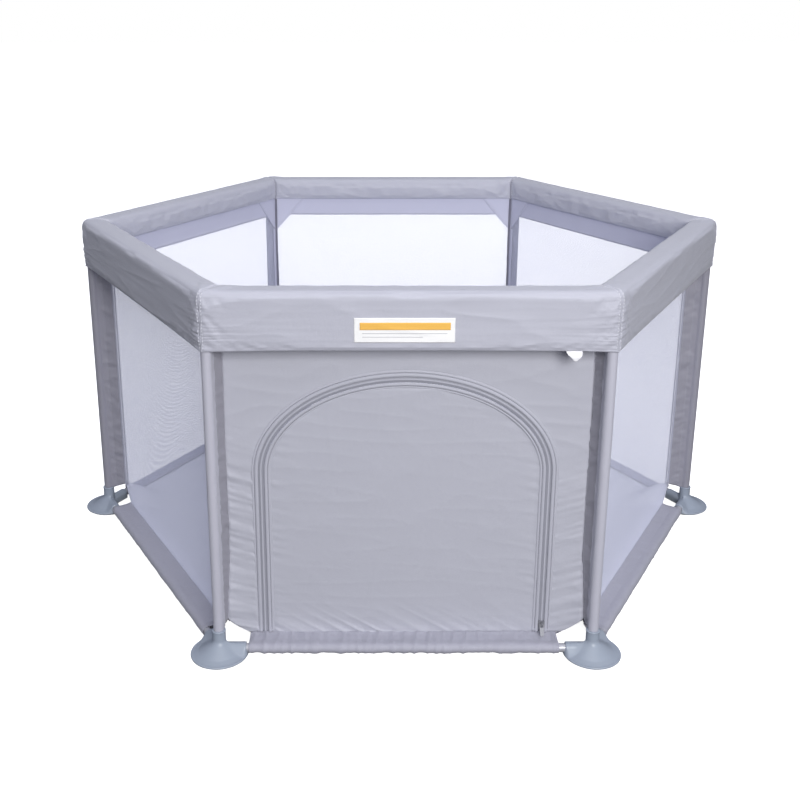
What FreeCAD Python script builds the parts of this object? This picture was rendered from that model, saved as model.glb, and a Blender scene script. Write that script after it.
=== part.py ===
"""Hexagonal travel play yard: a knock-down tube frame that carries a fabric and mesh bag.

Millimetres, +Z up, front towards -Y, origin on the floor under the middle of the yard.
Corner pieces are drawn at the corner on +X and side pieces at the front side, then turned
about Z by a multiple of 60 degrees.
"""
import math
import os

import FreeCAD, Part
import Sketcher

Vector = FreeCAD.Vector
SIDES = ["front", "front_right", "back_right", "back", "back_left", "front_left"]
CORNERS = ["right", "back_right", "back_left", "left", "front_left", "front_right"]
MESH_SIDES = SIDES[1:]
TURN = 60.0
UP = Vector(0, 0, 1)
TOWARDS_X = FreeCAD.Rotation(Vector(0, 1, 0), 90)

doc = FreeCAD.newDocument("PlayYard")
sheet = doc.addObject("Spreadsheet::Sheet", "Sizes")

SIZES = {
    # tube frame
    "frame_radius": 640.0,      # post axis to the middle of the yard, also one side's length
    "tube_radius": 7.5,
    "tube_wall": 0.8,
    "fit_gap": 0.1,             # between a tube and the socket or sleeve around it
    "low_rail_height": 12.0,
    "high_rail_height": 627.5,
    "joint_gap": 12.5,          # from a corner's axis to the end of a tube in its socket
    "post_start": 24.0,
    # plastic feet and their rubber pads
    "foot_radius": 50.0,
    "foot_rim": 5.0,
    "foot_crown": 22.0,
    "socket_radius": 11.5,
    "socket_height": 48.0,
    "hood_radius": 10.5,
    "hood_reach": 46.0,
    "pad_radius": 46.0,
    "pad_depth": 2.0,
    # hidden three-way top corners
    "hub_radius": 10.8,
    "arm_radius": 9.8,
    "arm_reach": 34.0,
    # padded top rail: apothems of its faces, heights of its edges
    "cover_outside": 567.0,
    "cover_inside": 515.0,
    "cover_top": 650.0,
    "cover_outer_hem": 551.0,
    "cover_inner_hem": 600.0,
    "cover_skin": 1.2,
    "foam_reach": 284.0,
    # fabric bag
    "bag_apothem": 522.2,
    "bag_half_width": 300.9,
    "bag_top": 600.0,
    "bag_hem": 24.0,
    "corner_lift": 56.0,        # height of the bag's bottom corners, pulled up by the fins
    "corner_run": 262.0,        # where the hem starts to rise towards a corner
    "cloth": 0.8,
    "band_bottom": 556.0,
    "floor_height": 3.0,
    "floor_flat": 455.0,
    "floor_edge": 521.2,
    # fins between the bag's corners and the posts
    "fin_inner": 604.0,
    "fin_top": 590.0,
    "fin_inner_hem": 60.0,
    "fin_outer_hem": 50.0,
    "fin_thickness": 1.4,
    "sleeve_radius": 8.3,
    # sleeves along the bottom rails
    "hem_sleeve_length": 532.0,
    "front_shift": -3.5,        # the front's door and hem sleeve sit a little to the left
    # zipped door
    "arch_half_width": 240.0,
    "arch_rise": 165.0,
    "arch_spring": 326.0,
    "zip_half_width": 12.3,
    "split_offset": 5.5,        # the door parts from the panel this far inside the zip's middle
    "split_gap": 0.5,
    "sill_height": 32.0,
    "coil_half_width": 1.5,
    "coil_depth": 1.6,
    # slider and its pull
    "slider_width": 10.0,
    "slider_length": 12.0,
    "slider_base": 34.0,
    "slider_depth": 3.2,
    "running_gap": 0.3,         # between the slider and the tape or coil that it runs on
    "bridge_width": 2.8,
    "bridge_depth": 2.9,
    "bridge_length": 7.0,
    "bridge_start": 2.5,        # from the slider's lower end
    "window_depth": 1.8,
    "window_length": 3.6,
    "pin_radius": 0.6,
    "pull_length": 20.0,
    "pull_width": 7.0,
    "pull_thickness": 1.2,
    "pull_lean": 35.0,
    "pull_arm": 1.2,
    "pull_tab_start": 5.4,      # from the pin to the tab, clear of the bridge as it swings
    # label and care tag on the front cover
    "label_width": 157.0,
    "label_height": 40.0,
    "label_left": -87.0,
    "label_base": 568.5,
    "tag_width": 25.0,
    "tag_left": 246.0,
    "tag_base": 534.0,
    "tag_height": 22.0,
    "patch_thickness": 0.4,
}

for row, (alias, value) in enumerate(SIZES.items(), start=1):
    sheet.set(f"A{row}", alias)
    sheet.set(f"B{row}", str(value))
    sheet.setAlias(f"B{row}", alias)
doc.recompute()

SIDE_APOTHEM = "Sizes.frame_radius * cos(30)"
BORE = "Sizes.tube_radius + Sizes.fit_gap"
nodes = {}


def size(alias):
    """A driving dimension's value."""
    return float(getattr(sheet, alias))


def turned(steps, offset=Vector(0, 0, 0), rotation=FreeCAD.Rotation()):
    """A placement at the drawn corner or side, turned about Z by whole steps of 60 degrees."""
    turn = FreeCAD.Placement(Vector(0, 0, 0), FreeCAD.Rotation(UP, TURN * steps))
    return turn.multiply(FreeCAD.Placement(offset, rotation))


def bind(obj, **expressions):
    """Ties properties to the sheet. A double underscore stands for a dot in a property's path."""
    for name, expression in expressions.items():
        obj.setExpression(name.replace("__", "."), expression)
    return obj


def primitive(kind, name, position=("0", "0", "0"), rotation=FreeCAD.Rotation(), angle=0, **expressions):
    """A Part primitive with its sizes and position bound to the sheet, turned about Z by an angle."""
    obj = doc.addObject(f"Part::{kind}", name)
    obj.Placement = FreeCAD.Placement(Vector(0, 0, 0), FreeCAD.Rotation(UP, angle).multiply(rotation))
    x, y, z = position
    obj.setExpression(".Placement.Base.x", f"({x}) * cos({angle}) - ({y}) * sin({angle})")
    obj.setExpression(".Placement.Base.y", f"({x}) * sin({angle}) + ({y}) * cos({angle})")
    obj.setExpression(".Placement.Base.z", z)
    return bind(obj, **expressions)


def fuse(name, pieces):
    obj = doc.addObject("Part::MultiFuse", name)
    obj.Shapes = pieces
    return obj


def cut(name, base, tool):
    obj = doc.addObject("Part::Cut", name)
    obj.Base, obj.Tool = base, tool
    return obj


def group(name, pieces):
    obj = doc.addObject("Part::Compound", name)
    obj.Links = pieces
    return obj


def keep(label, obj, placement=None):
    """Registers a finished sub-part under the name of its node."""
    obj.Label = label
    if placement is not None:
        obj.Placement = placement
    nodes[label] = obj
    return obj


def feature(label, shape, placement=FreeCAD.Placement()):
    """A sub-part whose shape comes straight from Part's own functions."""
    obj = doc.addObject("Part::Feature", label)
    obj.Shape = shape
    return keep(label, obj, placement)


# ---------------------------------------------------------------- tube frame

def tube(label, length, placement):
    """A round tube along its own +Z, sketched as two circles and padded."""
    body = doc.addObject("PartDesign::Body", label)
    sketch = body.newObject("Sketcher::SketchObject", f"{label}_section")
    plane = next(f for f in body.Origin.OriginFeatures if f.Role == "XY_Plane")
    sketch.AttachmentSupport = (plane, "")
    sketch.MapMode = "FlatFace"
    radii = (("outer", size("tube_radius"), "Sizes.tube_radius"),
             ("inner", size("tube_radius") - size("tube_wall"), "Sizes.tube_radius - Sizes.tube_wall"))
    for index, (name, radius, expression) in enumerate(radii):
        sketch.addGeometry(Part.Circle(Vector(0, 0, 0), UP, radius))
        sketch.addConstraint(Sketcher.Constraint("Coincident", index, 3, -1, 1))
        constraint = sketch.addConstraint(Sketcher.Constraint("Radius", index, radius))
        sketch.renameConstraint(constraint, name)
        sketch.setExpression(f"Constraints.{name}", expression)
    pad = body.newObject("PartDesign::Pad", f"{label}_wall")
    pad.Profile = sketch
    pad.setExpression("Length", length)
    sketch.Visibility = False
    return keep(label, body, placement)


def tube_frame():
    """Six posts, six bottom rails and six top rails."""
    radius = size("frame_radius")
    rail_start = Vector(size("joint_gap") - radius / 2, -radius * math.cos(math.radians(30)), 0)
    rail_length = "Sizes.frame_radius - 2 * Sizes.joint_gap"
    post_length = "Sizes.high_rail_height - Sizes.joint_gap - Sizes.post_start"
    for step, corner in enumerate(CORNERS):
        tube(f"post_{corner}", post_length, turned(step, Vector(radius, 0, size("post_start"))))
    for step, side in enumerate(SIDES):
        for level in ("low", "high"):
            start = rail_start + UP * size(f"{level}_rail_height")
            name = "bottom_rail" if level == "low" else "top_rail"
            tube(f"{name}_{side}", rail_length, turned(step, start, TOWARDS_X))


def foot(step, corner):
    """A flared plastic foot: outer 240 degrees of a shallow cone, a post socket and two rail hoods."""
    sector = FreeCAD.Rotation(UP, -120)
    rim = primitive("Cylinder", f"foot_rim_{corner}", ("0", "0", "Sizes.pad_depth"), sector,
                    Radius="Sizes.foot_radius", Height="Sizes.foot_rim - Sizes.pad_depth")
    cone = primitive("Cone", f"foot_cone_{corner}", ("0", "0", "Sizes.foot_rim"), sector,
                     Radius1="Sizes.foot_radius", Radius2="Sizes.socket_radius",
                     Height="Sizes.foot_crown - Sizes.foot_rim")
    for part in (rim, cone):
        part.Angle = 240
    solids = [rim, cone, primitive("Cylinder", f"foot_socket_{corner}", ("0", "0", "Sizes.pad_depth"),
                                   Radius="Sizes.socket_radius",
                                   Height="Sizes.socket_height - Sizes.pad_depth")]
    bores = [primitive("Cylinder", f"foot_post_bore_{corner}", ("0", "0", "Sizes.post_start"),
                       Radius=BORE, Height="Sizes.socket_height")]
    for sign, side in ((1, "a"), (-1, "b")):
        solids.append(primitive("Cylinder", f"foot_hood_{side}_{corner}",
                                ("0", "0", "Sizes.low_rail_height"), TOWARDS_X, sign * 120,
                                Radius="Sizes.hood_radius", Height="Sizes.hood_reach"))
        solids.append(primitive("Box", f"foot_hood_base_{side}_{corner}",
                                ("0", "-Sizes.hood_radius", "Sizes.pad_depth"), angle=sign * 120,
                                Length="Sizes.hood_reach", Width="2 * Sizes.hood_radius",
                                Height="Sizes.low_rail_height - Sizes.pad_depth"))
        bores.append(primitive("Cylinder", f"foot_rail_bore_{side}_{corner}",
                               ("Sizes.joint_gap - Sizes.fit_gap", "0", "Sizes.low_rail_height"),
                               TOWARDS_X, sign * 120, Radius=BORE, Height="Sizes.foot_radius"))
    # the hoods' round undersides stop level with the rest of the foot
    trim = primitive("Box", f"foot_trim_{corner}", ("-2 * Sizes.foot_radius", "-2 * Sizes.foot_radius", "-20"),
                     Length="4 * Sizes.foot_radius", Width="4 * Sizes.foot_radius",
                     Height="20 + Sizes.pad_depth")
    hollow = fuse(f"foot_hollow_{corner}", bores + [trim])
    solid = fuse(f"foot_solid_{corner}", solids)
    keep(f"foot_{corner}", cut(f"foot_{corner}", solid, hollow), turned(step, Vector(size("frame_radius"), 0, 0)))


def foot_pads():
    """Rubber pads, one flush under each foot's flare."""
    pads = []
    for step, corner in enumerate(CORNERS):
        pad = primitive("Cylinder", f"pad_{corner}", ("Sizes.frame_radius", "0", "0"),
                        FreeCAD.Rotation(UP, -120), TURN * step,
                        Radius="Sizes.pad_radius", Height="Sizes.pad_depth")
        pad.Angle = 240
        pads.append(pad)
    keep("foot_pads", group("foot_pads", pads))


def top_connector(step, corner):
    """A three-way corner: a round hub with two rail arms and a post arm, all bored for tubes."""
    inset = "Sizes.joint_gap - Sizes.fit_gap"
    downwards = FreeCAD.Rotation(Vector(1, 0, 0), 180)
    arms = [primitive("Sphere", f"hub_{corner}", Radius="Sizes.hub_radius"),
            primitive("Cylinder", f"post_arm_{corner}", rotation=downwards,
                      Radius="Sizes.arm_radius", Height="Sizes.arm_reach")]
    bores = [primitive("Cylinder", f"post_arm_bore_{corner}", ("0", "0", f"-({inset})"), downwards,
                       Radius=BORE, Height="Sizes.arm_reach")]
    for angle, side in ((120, "a"), (-120, "b")):
        arms.append(primitive("Cylinder", f"rail_arm_{side}_{corner}", rotation=TOWARDS_X, angle=angle,
                              Radius="Sizes.arm_radius", Height="Sizes.arm_reach"))
        bores.append(primitive("Cylinder", f"rail_arm_bore_{side}_{corner}", (inset, "0", "0"), TOWARDS_X,
                               angle, Radius=BORE, Height="Sizes.arm_reach"))
    solid = fuse(f"connector_solid_{corner}", arms)
    hollow = fuse(f"connector_hollow_{corner}", bores)
    place = turned(step, Vector(size("frame_radius"), 0, size("high_rail_height")))
    keep(f"top_connector_{corner}", cut(f"top_connector_{corner}", solid, hollow), place)


# ---------------------------------------------------------------- padded top rail

def half_round(name, radius):
    """The upper half of a cylinder along X, centred over the padded rail."""
    obj = primitive("Cylinder", name,
                    ("-Sizes.frame_radius", "-(Sizes.cover_outside + Sizes.cover_inside) / 2",
                     "Sizes.cover_top - (Sizes.cover_outside - Sizes.cover_inside) / 2"),
                    TOWARDS_X.multiply(FreeCAD.Rotation(UP, 90)),
                    Radius=radius, Height="2 * Sizes.frame_radius")
    obj.Angle = 180
    return obj


def side_box(name, outside, inside, base, top, half_length="Sizes.frame_radius", angle=0):
    """A straight slab along one side, between two apothems and two heights."""
    return primitive("Box", name, (f"-({half_length})", f"-({outside})", base), angle=angle,
                     Length=f"2 * ({half_length})", Width=f"{outside} - ({inside})", Height=f"{top} - ({base})")


def mitred(name, piece):
    """Trims a side piece at the two vertical planes through its corners."""
    sector = doc.addObject("Part::Wedge", f"{name}_sector")
    bind(sector, Ymin="-2 * Sizes.frame_radius", Ymax="-1", Zmin="0", Zmax="2 * Sizes.cover_top",
         Z2min="0", Z2max="2 * Sizes.cover_top",
         Xmin="-2 * Sizes.frame_radius * tan(30)", Xmax="2 * Sizes.frame_radius * tan(30)",
         X2min="-1 * tan(30)", X2max="1 * tan(30)")
    obj = doc.addObject("Part::Common", name)
    obj.Base, obj.Tool = piece, sector
    return obj


def rail_cover(step, side):
    """A fabric skin folded over one padded rail, with a long outer leg and a short inner one."""
    name = f"rail_cover_{side}"
    full = "(Sizes.cover_outside - Sizes.cover_inside) / 2"
    spring = f"Sizes.cover_top - {full}"
    ridge = cut(f"{name}_ridge", half_round(f"{name}_outer", full),
                half_round(f"{name}_inner", f"{full} - Sizes.cover_skin"))
    outer_leg = side_box(f"{name}_outer_leg", "Sizes.cover_outside", "Sizes.cover_outside - Sizes.cover_skin",
                         "Sizes.cover_outer_hem", spring)
    inner_leg = side_box(f"{name}_inner_leg", "Sizes.cover_inside + Sizes.cover_skin", "Sizes.cover_inside",
                         "Sizes.cover_inner_hem", spring)
    skin = fuse(f"{name}_skin", [ridge, outer_leg, inner_leg])
    keep(name, mitred(name, skin), turned(step))


def rail_foam():
    """Foam cores, each slit along its length by the rail that it sits on."""
    cores = []
    inner = "(Sizes.cover_outside - Sizes.cover_inside) / 2 - Sizes.cover_skin"
    spring = "Sizes.cover_top - (Sizes.cover_outside - Sizes.cover_inside) / 2"
    for step, side in enumerate(SIDES):
        name = f"foam_{side}"
        block = fuse(f"{name}_block", [
            half_round(f"{name}_ridge", inner),
            side_box(f"{name}_base", "Sizes.cover_outside - Sizes.cover_skin",
                     "Sizes.cover_inside + Sizes.cover_skin", "Sizes.cover_inner_hem", spring)])
        length = side_box(f"{name}_span", "Sizes.frame_radius", "Sizes.cover_inside", "Sizes.cover_outer_hem",
                          "Sizes.cover_top", "Sizes.foam_reach")
        core = doc.addObject("Part::Common", f"{name}_core")
        core.Base, core.Tool = block, length
        bore = primitive("Cylinder", f"{name}_bore",
                         ("-Sizes.frame_radius", f"-{SIDE_APOTHEM}", "Sizes.high_rail_height"), TOWARDS_X,
                         Radius=BORE, Height="2 * Sizes.frame_radius")
        foam = cut(name, core, bore)
        foam.Placement = turned(step)
        cores.append(foam)
    keep("rail_foam", group("rail_foam", cores))


# ---------------------------------------------------------------- fabric bag

def panel_outline(y):
    """A side panel's edge at depth y: level hem, lifted bottom corners, straight top."""
    half, hem, run = size("bag_half_width"), size("bag_hem"), size("corner_run")
    lift, top = size("corner_lift"), size("bag_top")
    right = [(run, hem), (half, lift), (half, top)]
    left = [(-x, z) for x, z in reversed(right)]
    return Part.makePolygon([Vector(x, y, z) for x, z in right + left + right[:1]])


def arch_outline(y, offset, base):
    """The door's arch at depth y, offset from the zip's middle line and closed at base."""
    middle, spring = size("front_shift"), size("arch_spring")
    half, rise = size("arch_half_width") + offset, size("arch_rise") + offset
    centre = Vector(middle, y, spring)
    crown, right = Vector(middle, y, spring + rise), Vector(middle + half, y, spring)
    curve = Part.Ellipse(right, crown, centre)
    arch = Part.Arc(curve, 0, math.pi).toShape()
    start, end = arch.valueAt(arch.FirstParameter), arch.valueAt(arch.LastParameter)
    sill_end, sill_start = Vector(end.x, y, base), Vector(start.x, y, base)
    legs = [Part.makeLine(end, sill_end), Part.makeLine(sill_end, sill_start), Part.makeLine(sill_start, start)]
    return Part.Wire([arch] + legs)


def slab(outline, thickness, hole=None):
    """A flat cloth piece: an outline, less a hole, made thick towards the inside of the yard."""
    face = Part.Face(outline)
    if hole is not None:
        face = face.cut(Part.Face(hole))
    return face.extrude(Vector(0, thickness, 0)).Solids[0]


def split_edge():
    """Offset of the moving door's edge from the zip's middle line."""
    return -size("split_offset") - size("split_gap") / 2


def bag_panels():
    """Five mesh sides and the solid front panel with its arched door opening."""
    cloth = size("cloth")
    y = -size("bag_apothem") - cloth / 2
    for side in MESH_SIDES:
        feature(f"mesh_{side}", slab(panel_outline(y), cloth), turned(SIDES.index(side)))
    opening = arch_outline(y, split_edge() + size("split_gap"), size("sill_height"))
    feature("front_panel", slab(panel_outline(y), cloth, opening))


def zipped_door():
    """The door flap, and the zip's two tapes: one on the flap, one with the coil on the panel."""
    cloth = size("cloth")
    y = -size("bag_apothem") - cloth / 2
    edge, sill = split_edge(), size("sill_height")
    flap_sill = sill + size("split_gap")
    below = sill - cloth
    feature("door_flap", slab(arch_outline(y, edge, flap_sill), cloth))
    inner_hole = arch_outline(y - cloth, -size("zip_half_width"), below)
    feature("zip_tape_inner", slab(arch_outline(y - cloth, edge, flap_sill), cloth, inner_hole))
    tape_hole = arch_outline(y - cloth, edge + size("split_gap"), below - cloth)
    tape = slab(arch_outline(y - cloth, size("zip_half_width"), below), cloth, tape_hole)
    chain_face = y - cloth - size("coil_depth")
    chain_hole = arch_outline(chain_face, -size("coil_half_width"), below - cloth)
    chain = slab(arch_outline(chain_face, size("coil_half_width"), below), size("coil_depth"), chain_hole)
    feature("zip_tape_outer", tape.fuse(chain).removeSplitter().Solids[0])


def corner_fin(step, corner):
    """A double cloth band from a corner of the bag out to a sleeve around the post."""
    inner, outer = size("fin_inner"), size("frame_radius") - size("tube_radius") - size("fit_gap") / 2
    half, top = size("fin_thickness") / 2, size("fin_top")
    edge = [(inner, size("fin_inner_hem")), (outer, size("fin_outer_hem")), (outer, top), (inner, top)]
    band = Part.Face(Part.makePolygon([Vector(x, -half, z) for x, z in edge + edge[:1]]))
    band = band.extrude(Vector(0, 2 * half, 0))
    base, centre = size("fin_outer_hem"), Vector(size("frame_radius"), 0, size("fin_outer_hem"))
    sleeve = Part.makeCylinder(size("sleeve_radius"), top - base, centre)
    bore = Part.makeCylinder(size("tube_radius") + size("fit_gap"), top - base, centre)
    solid = band.fuse(sleeve).cut(bore).removeSplitter()
    feature(f"corner_fin_{corner}", solid.Solids[0], turned(step))


def hem_sleeves():
    """Cloth sleeves that tie the bag's hem to the bottom rails."""
    sleeves = []
    apothem = size("frame_radius") * math.cos(math.radians(30))
    half, thickness = size("hem_sleeve_length") / 2, size("sleeve_radius") - size("tube_radius") - size("fit_gap")
    crest = size("low_rail_height") + size("sleeve_radius")
    start = size("bag_apothem") + size("cloth")
    for step, side in enumerate(SIDES):
        middle = size("front_shift") if side == "front" else 0.0
        edge = [(-start, size("bag_hem")), (-apothem, crest), (-apothem, crest - thickness),
                (-start, size("bag_hem") - thickness)]
        strap = Part.Face(Part.makePolygon([Vector(middle - half, y, z) for y, z in edge + edge[:1]]))
        strap = strap.extrude(Vector(2 * half, 0, 0))
        axis_start = Vector(middle - half, -apothem, size("low_rail_height"))
        ring = Part.makeCylinder(size("sleeve_radius"), 2 * half, axis_start, Vector(1, 0, 0))
        bore = Part.makeCylinder(size("tube_radius") + size("fit_gap"), 2 * half, axis_start, Vector(1, 0, 0))
        piece = doc.addObject("Part::Feature", f"hem_sleeve_{side}")
        piece.Shape = strap.fuse(ring).cut(bore).removeSplitter().Solids[0]
        piece.Placement = turned(step)
        sleeves.append(piece)
    keep("hem_sleeves", group("hem_sleeves", sleeves))


def top_bands():
    """Cloth bands inside the top of the bag, below the padded rail."""
    bands = []
    outside = "Sizes.bag_apothem - Sizes.cloth"
    for step, side in enumerate(SIDES):
        bands.append(side_box(f"band_{side}", outside, f"{outside} - Sizes.cloth", "Sizes.band_bottom",
                              "Sizes.bag_top", "Sizes.bag_half_width - 2 * Sizes.cloth", TURN * step))
    keep("top_bands", group("top_bands", bands))


def floor_sheet():
    """The bag's floor: flat just above the ground, rising to the hem around its edge."""
    def dish(name, lift):
        sections = []
        for level, apothem, height in (("low", "floor_flat", "floor_height"), ("high", "floor_edge", "bag_hem")):
            polygon = doc.addObject("Part::RegularPolygon", f"{name}_{level}")
            polygon.Polygon = 6
            bind(polygon, Circumradius=f"Sizes.{apothem} / cos(30)", __Placement__Base__z=f"Sizes.{height} + {lift}")
            sections.append(polygon)
        loft = doc.addObject("Part::Loft", name)
        loft.Sections, loft.Solid, loft.Ruled = sections, True, True
        return loft
    outer, inner = dish("floor_under", "0"), dish("floor_over", "1.5 * Sizes.cloth")
    keep("floor_sheet", cut("floor_sheet", outer, inner))


# ---------------------------------------------------------------- slider, pull, label, tag

def zip_slider():
    """A slider that straddles the coil, with a small bridge for its pull."""
    face = "Sizes.bag_apothem + 1.5 * Sizes.cloth"
    top = f"{face} + Sizes.slider_depth"
    middle = "Sizes.front_shift + Sizes.arch_half_width"
    groove = "Sizes.coil_half_width + Sizes.running_gap"
    body = primitive("Box", "slider_block",
                     (f"{middle} - Sizes.slider_width / 2", f"-({top})", "Sizes.slider_base"),
                     Length="Sizes.slider_width", Width="Sizes.slider_depth - Sizes.running_gap",
                     Height="Sizes.slider_length")
    channel = primitive("Box", "slider_channel",
                        (f"{middle} - ({groove})", f"-({face} + Sizes.coil_depth + Sizes.running_gap)",
                         "Sizes.slider_base - Sizes.slider_length"),
                        Length=f"2 * ({groove})", Width="Sizes.coil_depth + Sizes.running_gap",
                        Height="3 * Sizes.slider_length")
    bridge = primitive("Box", "slider_bridge",
                       (f"{middle} - Sizes.bridge_width / 2", f"-({top} + Sizes.bridge_depth)",
                        "Sizes.slider_base + Sizes.bridge_start"),
                       Length="Sizes.bridge_width", Width="Sizes.bridge_depth", Height="Sizes.bridge_length")
    window = primitive("Box", "slider_window",
                       (f"{middle} - Sizes.bridge_width", f"-({top} + Sizes.window_depth)",
                        "Sizes.slider_base + Sizes.bridge_start + (Sizes.bridge_length - Sizes.window_length) / 2"),
                       Length="2 * Sizes.bridge_width", Width="Sizes.window_depth", Height="Sizes.window_length")
    solid = fuse("slider_solid", [cut("slider_channelled", body, channel), bridge])
    keep("zip_slider", cut("zip_slider", solid, window))


def pull_pivot():
    """Where the pull turns, in the middle of the bridge's window."""
    top = size("bag_apothem") + 1.5 * size("cloth") + size("slider_depth")
    height = size("slider_base") + size("bridge_start") + size("bridge_length") / 2
    return Vector(size("front_shift") + size("arch_half_width"), -top - size("window_depth") / 2, height)


def zip_pull():
    """The pull: a pin through the bridge, two arms and a flat tab with a rounded end."""
    half, thickness, length = size("pull_width") / 2, size("pull_thickness"), size("pull_length")
    arm, start = size("pull_arm"), size("pull_tab_start")
    front = -thickness / 2
    pin = Part.makeCylinder(size("pin_radius"), 2 * half - arm, Vector(arm / 2 - half, 0, 0), Vector(1, 0, 0))
    tab = Part.makeBox(2 * half, thickness, length - start - half, Vector(-half, front, half - length))
    end = Part.makeCylinder(half, thickness, Vector(0, front, half - length), Vector(0, 1, 0))
    arms = [Part.makeBox(arm, thickness, start + arm, Vector(x, front, -start - size("pin_radius")))
            for x in (-half, half - arm)]
    solid = pin.multiFuse([tab, end] + arms).removeSplitter().Solids[0]
    lean = FreeCAD.Rotation(Vector(1, 0, 0), -size("pull_lean"))
    feature("zip_pull", solid, FreeCAD.Placement(pull_pivot(), lean))


def patches():
    """The label on the front cover and the care tag that hangs under its hem."""
    label = primitive("Box", "label_patch",
                      ("Sizes.label_left", "-Sizes.cover_outside - Sizes.patch_thickness", "Sizes.label_base"),
                      Length="Sizes.label_width", Width="Sizes.patch_thickness", Height="Sizes.label_height")
    keep("label_patch", label)
    tag = primitive("Box", "care_tag",
                    ("Sizes.tag_left", "Sizes.cover_skin - Sizes.cover_outside", "Sizes.tag_base"),
                    Length="Sizes.tag_width", Width="Sizes.patch_thickness", Height="Sizes.tag_height")
    keep("care_tag", tag)


# ---------------------------------------------------------------- build and write

tube_frame()
for number, corner_name in enumerate(CORNERS):
    foot(number, corner_name)
    top_connector(number, corner_name)
    corner_fin(number, corner_name)
foot_pads()
for number, side_name in enumerate(SIDES):
    rail_cover(number, side_name)
rail_foam()
bag_panels()
zipped_door()
hem_sleeves()
top_bands()
floor_sheet()
zip_slider()
zip_pull()
patches()
doc.recompute()

faulty = [obj.Name for obj in doc.Objects if {"Invalid", "Error"} & set(obj.State)]
if faulty:
    raise RuntimeError(f"these objects did not recompute: {faulty}")
for label, obj in nodes.items():
    if obj.Shape.isNull() or not obj.Shape.isValid() or obj.Shape.Volume <= 0:
        raise RuntimeError(f"{label} has no sound shape")

os.makedirs("parts", exist_ok=True)
for label, obj in nodes.items():
    obj.Shape.exportStep(os.path.join("parts", f"{label}.step"))
print(len(nodes), "nodes written")
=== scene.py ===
"""Looks of the six-sided play yard: sewn covers, nets, panels, zip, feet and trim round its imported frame.

Metres, +Z up, the door's side facing -Y. Every side is made in the front side's place and turned about Z.
In a term of creases or puckers the first number is its depth, and the factors inside wave() and fold() are
how many cells of noise there are a metre. What a distance is divided by in ease(), and what fade() and bell()
are given second, is how far the effect reaches.
"""

import math
from bisect import bisect_left

import bmesh
import bpy
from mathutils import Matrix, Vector, noise
from mathutils.bvhtree import BVHTree


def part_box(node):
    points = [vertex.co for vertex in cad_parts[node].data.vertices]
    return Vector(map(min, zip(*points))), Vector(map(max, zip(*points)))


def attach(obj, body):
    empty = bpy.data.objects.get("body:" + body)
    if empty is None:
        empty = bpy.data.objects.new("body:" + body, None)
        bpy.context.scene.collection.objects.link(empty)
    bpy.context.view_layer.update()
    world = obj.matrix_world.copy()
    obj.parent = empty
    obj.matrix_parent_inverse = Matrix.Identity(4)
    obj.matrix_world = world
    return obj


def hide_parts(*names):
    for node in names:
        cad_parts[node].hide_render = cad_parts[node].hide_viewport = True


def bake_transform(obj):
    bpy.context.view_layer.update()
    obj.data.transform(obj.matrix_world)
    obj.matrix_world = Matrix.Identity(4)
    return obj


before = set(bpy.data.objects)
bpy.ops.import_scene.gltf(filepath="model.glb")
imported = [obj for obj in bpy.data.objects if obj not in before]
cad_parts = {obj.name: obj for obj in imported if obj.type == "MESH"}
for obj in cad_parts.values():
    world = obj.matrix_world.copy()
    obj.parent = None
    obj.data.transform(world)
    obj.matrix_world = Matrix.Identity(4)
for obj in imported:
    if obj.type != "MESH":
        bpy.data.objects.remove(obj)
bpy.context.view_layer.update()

SIDES = ("front", "front_right", "back_right", "back", "back_left", "front_left")
CORNERS = ("right", "back_right", "back_left", "left", "front_left", "front_right")
MITRE = math.tan(math.radians(30))      # half a side's length over its distance from the centre
TO_CORNER = 1 / math.cos(math.radians(30))

# places read from the frame
COVER_LOW, COVER_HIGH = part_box("rail_cover_front")
COVER_OUT, COVER_IN = -COVER_LOW.y, -COVER_HIGH.y
COVER_TOP, COVER_HEM = COVER_HIGH.z, COVER_LOW.z
PANEL_LOW, PANEL_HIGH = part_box("front_panel")
BAG = -(PANEL_LOW.y + PANEL_HIGH.y) / 2  # the bag's walls from the centre
BAG_HALF = PANEL_HIGH.x
BAG_TOP = PANEL_HIGH.z
POST_LOW, POST_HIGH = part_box("post_right")
CORNER_RADIUS = (POST_LOW.x + POST_HIGH.x) / 2
TUBE_RADIUS = (POST_HIGH.x - POST_LOW.x) / 2
RAIL_LOW, RAIL_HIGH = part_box("bottom_rail_front")
RAIL_HEIGHT = (RAIL_LOW.z + RAIL_HIGH.z) / 2
RAIL_OUT = -(RAIL_LOW.y + RAIL_HIGH.y) / 2
TAPE_LOW, TAPE_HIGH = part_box("zip_tape_outer")
FOOT_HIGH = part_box("foot_right")[1]
TOP_RAIL_LOW, TOP_RAIL_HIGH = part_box("top_rail_front")
BAND_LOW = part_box("top_bands")[0]
LABEL_LOW, LABEL_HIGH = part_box("label_patch")
TAG_LOW, TAG_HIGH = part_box("care_tag")

# sewn sizes that the frame doesn't hold
SEAM_HEIGHT = 0.0215      # the bag's bottom seam at mid-side
CORNER_LIFT = 0.056       # the same seam at the corners
CORNER_RUN = 0.262        # where the seam starts to rise, from mid-side
INNER_HEM = 0.600         # the covers' inner edge
SKIRT_TOP = 0.625         # below this their outer face is gathered at the seams
CLOTH = 0.0008
ARCH_MIDDLE = (TAPE_LOW.x + TAPE_HIGH.x) / 2
ARCH_HALF = 0.240         # the zip's middle line
ARCH_SPRING = 0.326
ARCH_RISE = 0.165
ZIP_FLOOR = 0.024         # where the zip's legs start
LIP_START = 0.0048        # the folded cloth edges beside the zip's teeth
LIP_END = 0.0125
LIP_SEAM = 0.84           # where a lip is stitched down, as a share of its width
TUCK = 0.002              # how far the panel and the door reach under their lips
DOOR_EDGE = 0.00575       # the door's edge, inside the zip's middle line
FIN_INNER = 0.603
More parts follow.
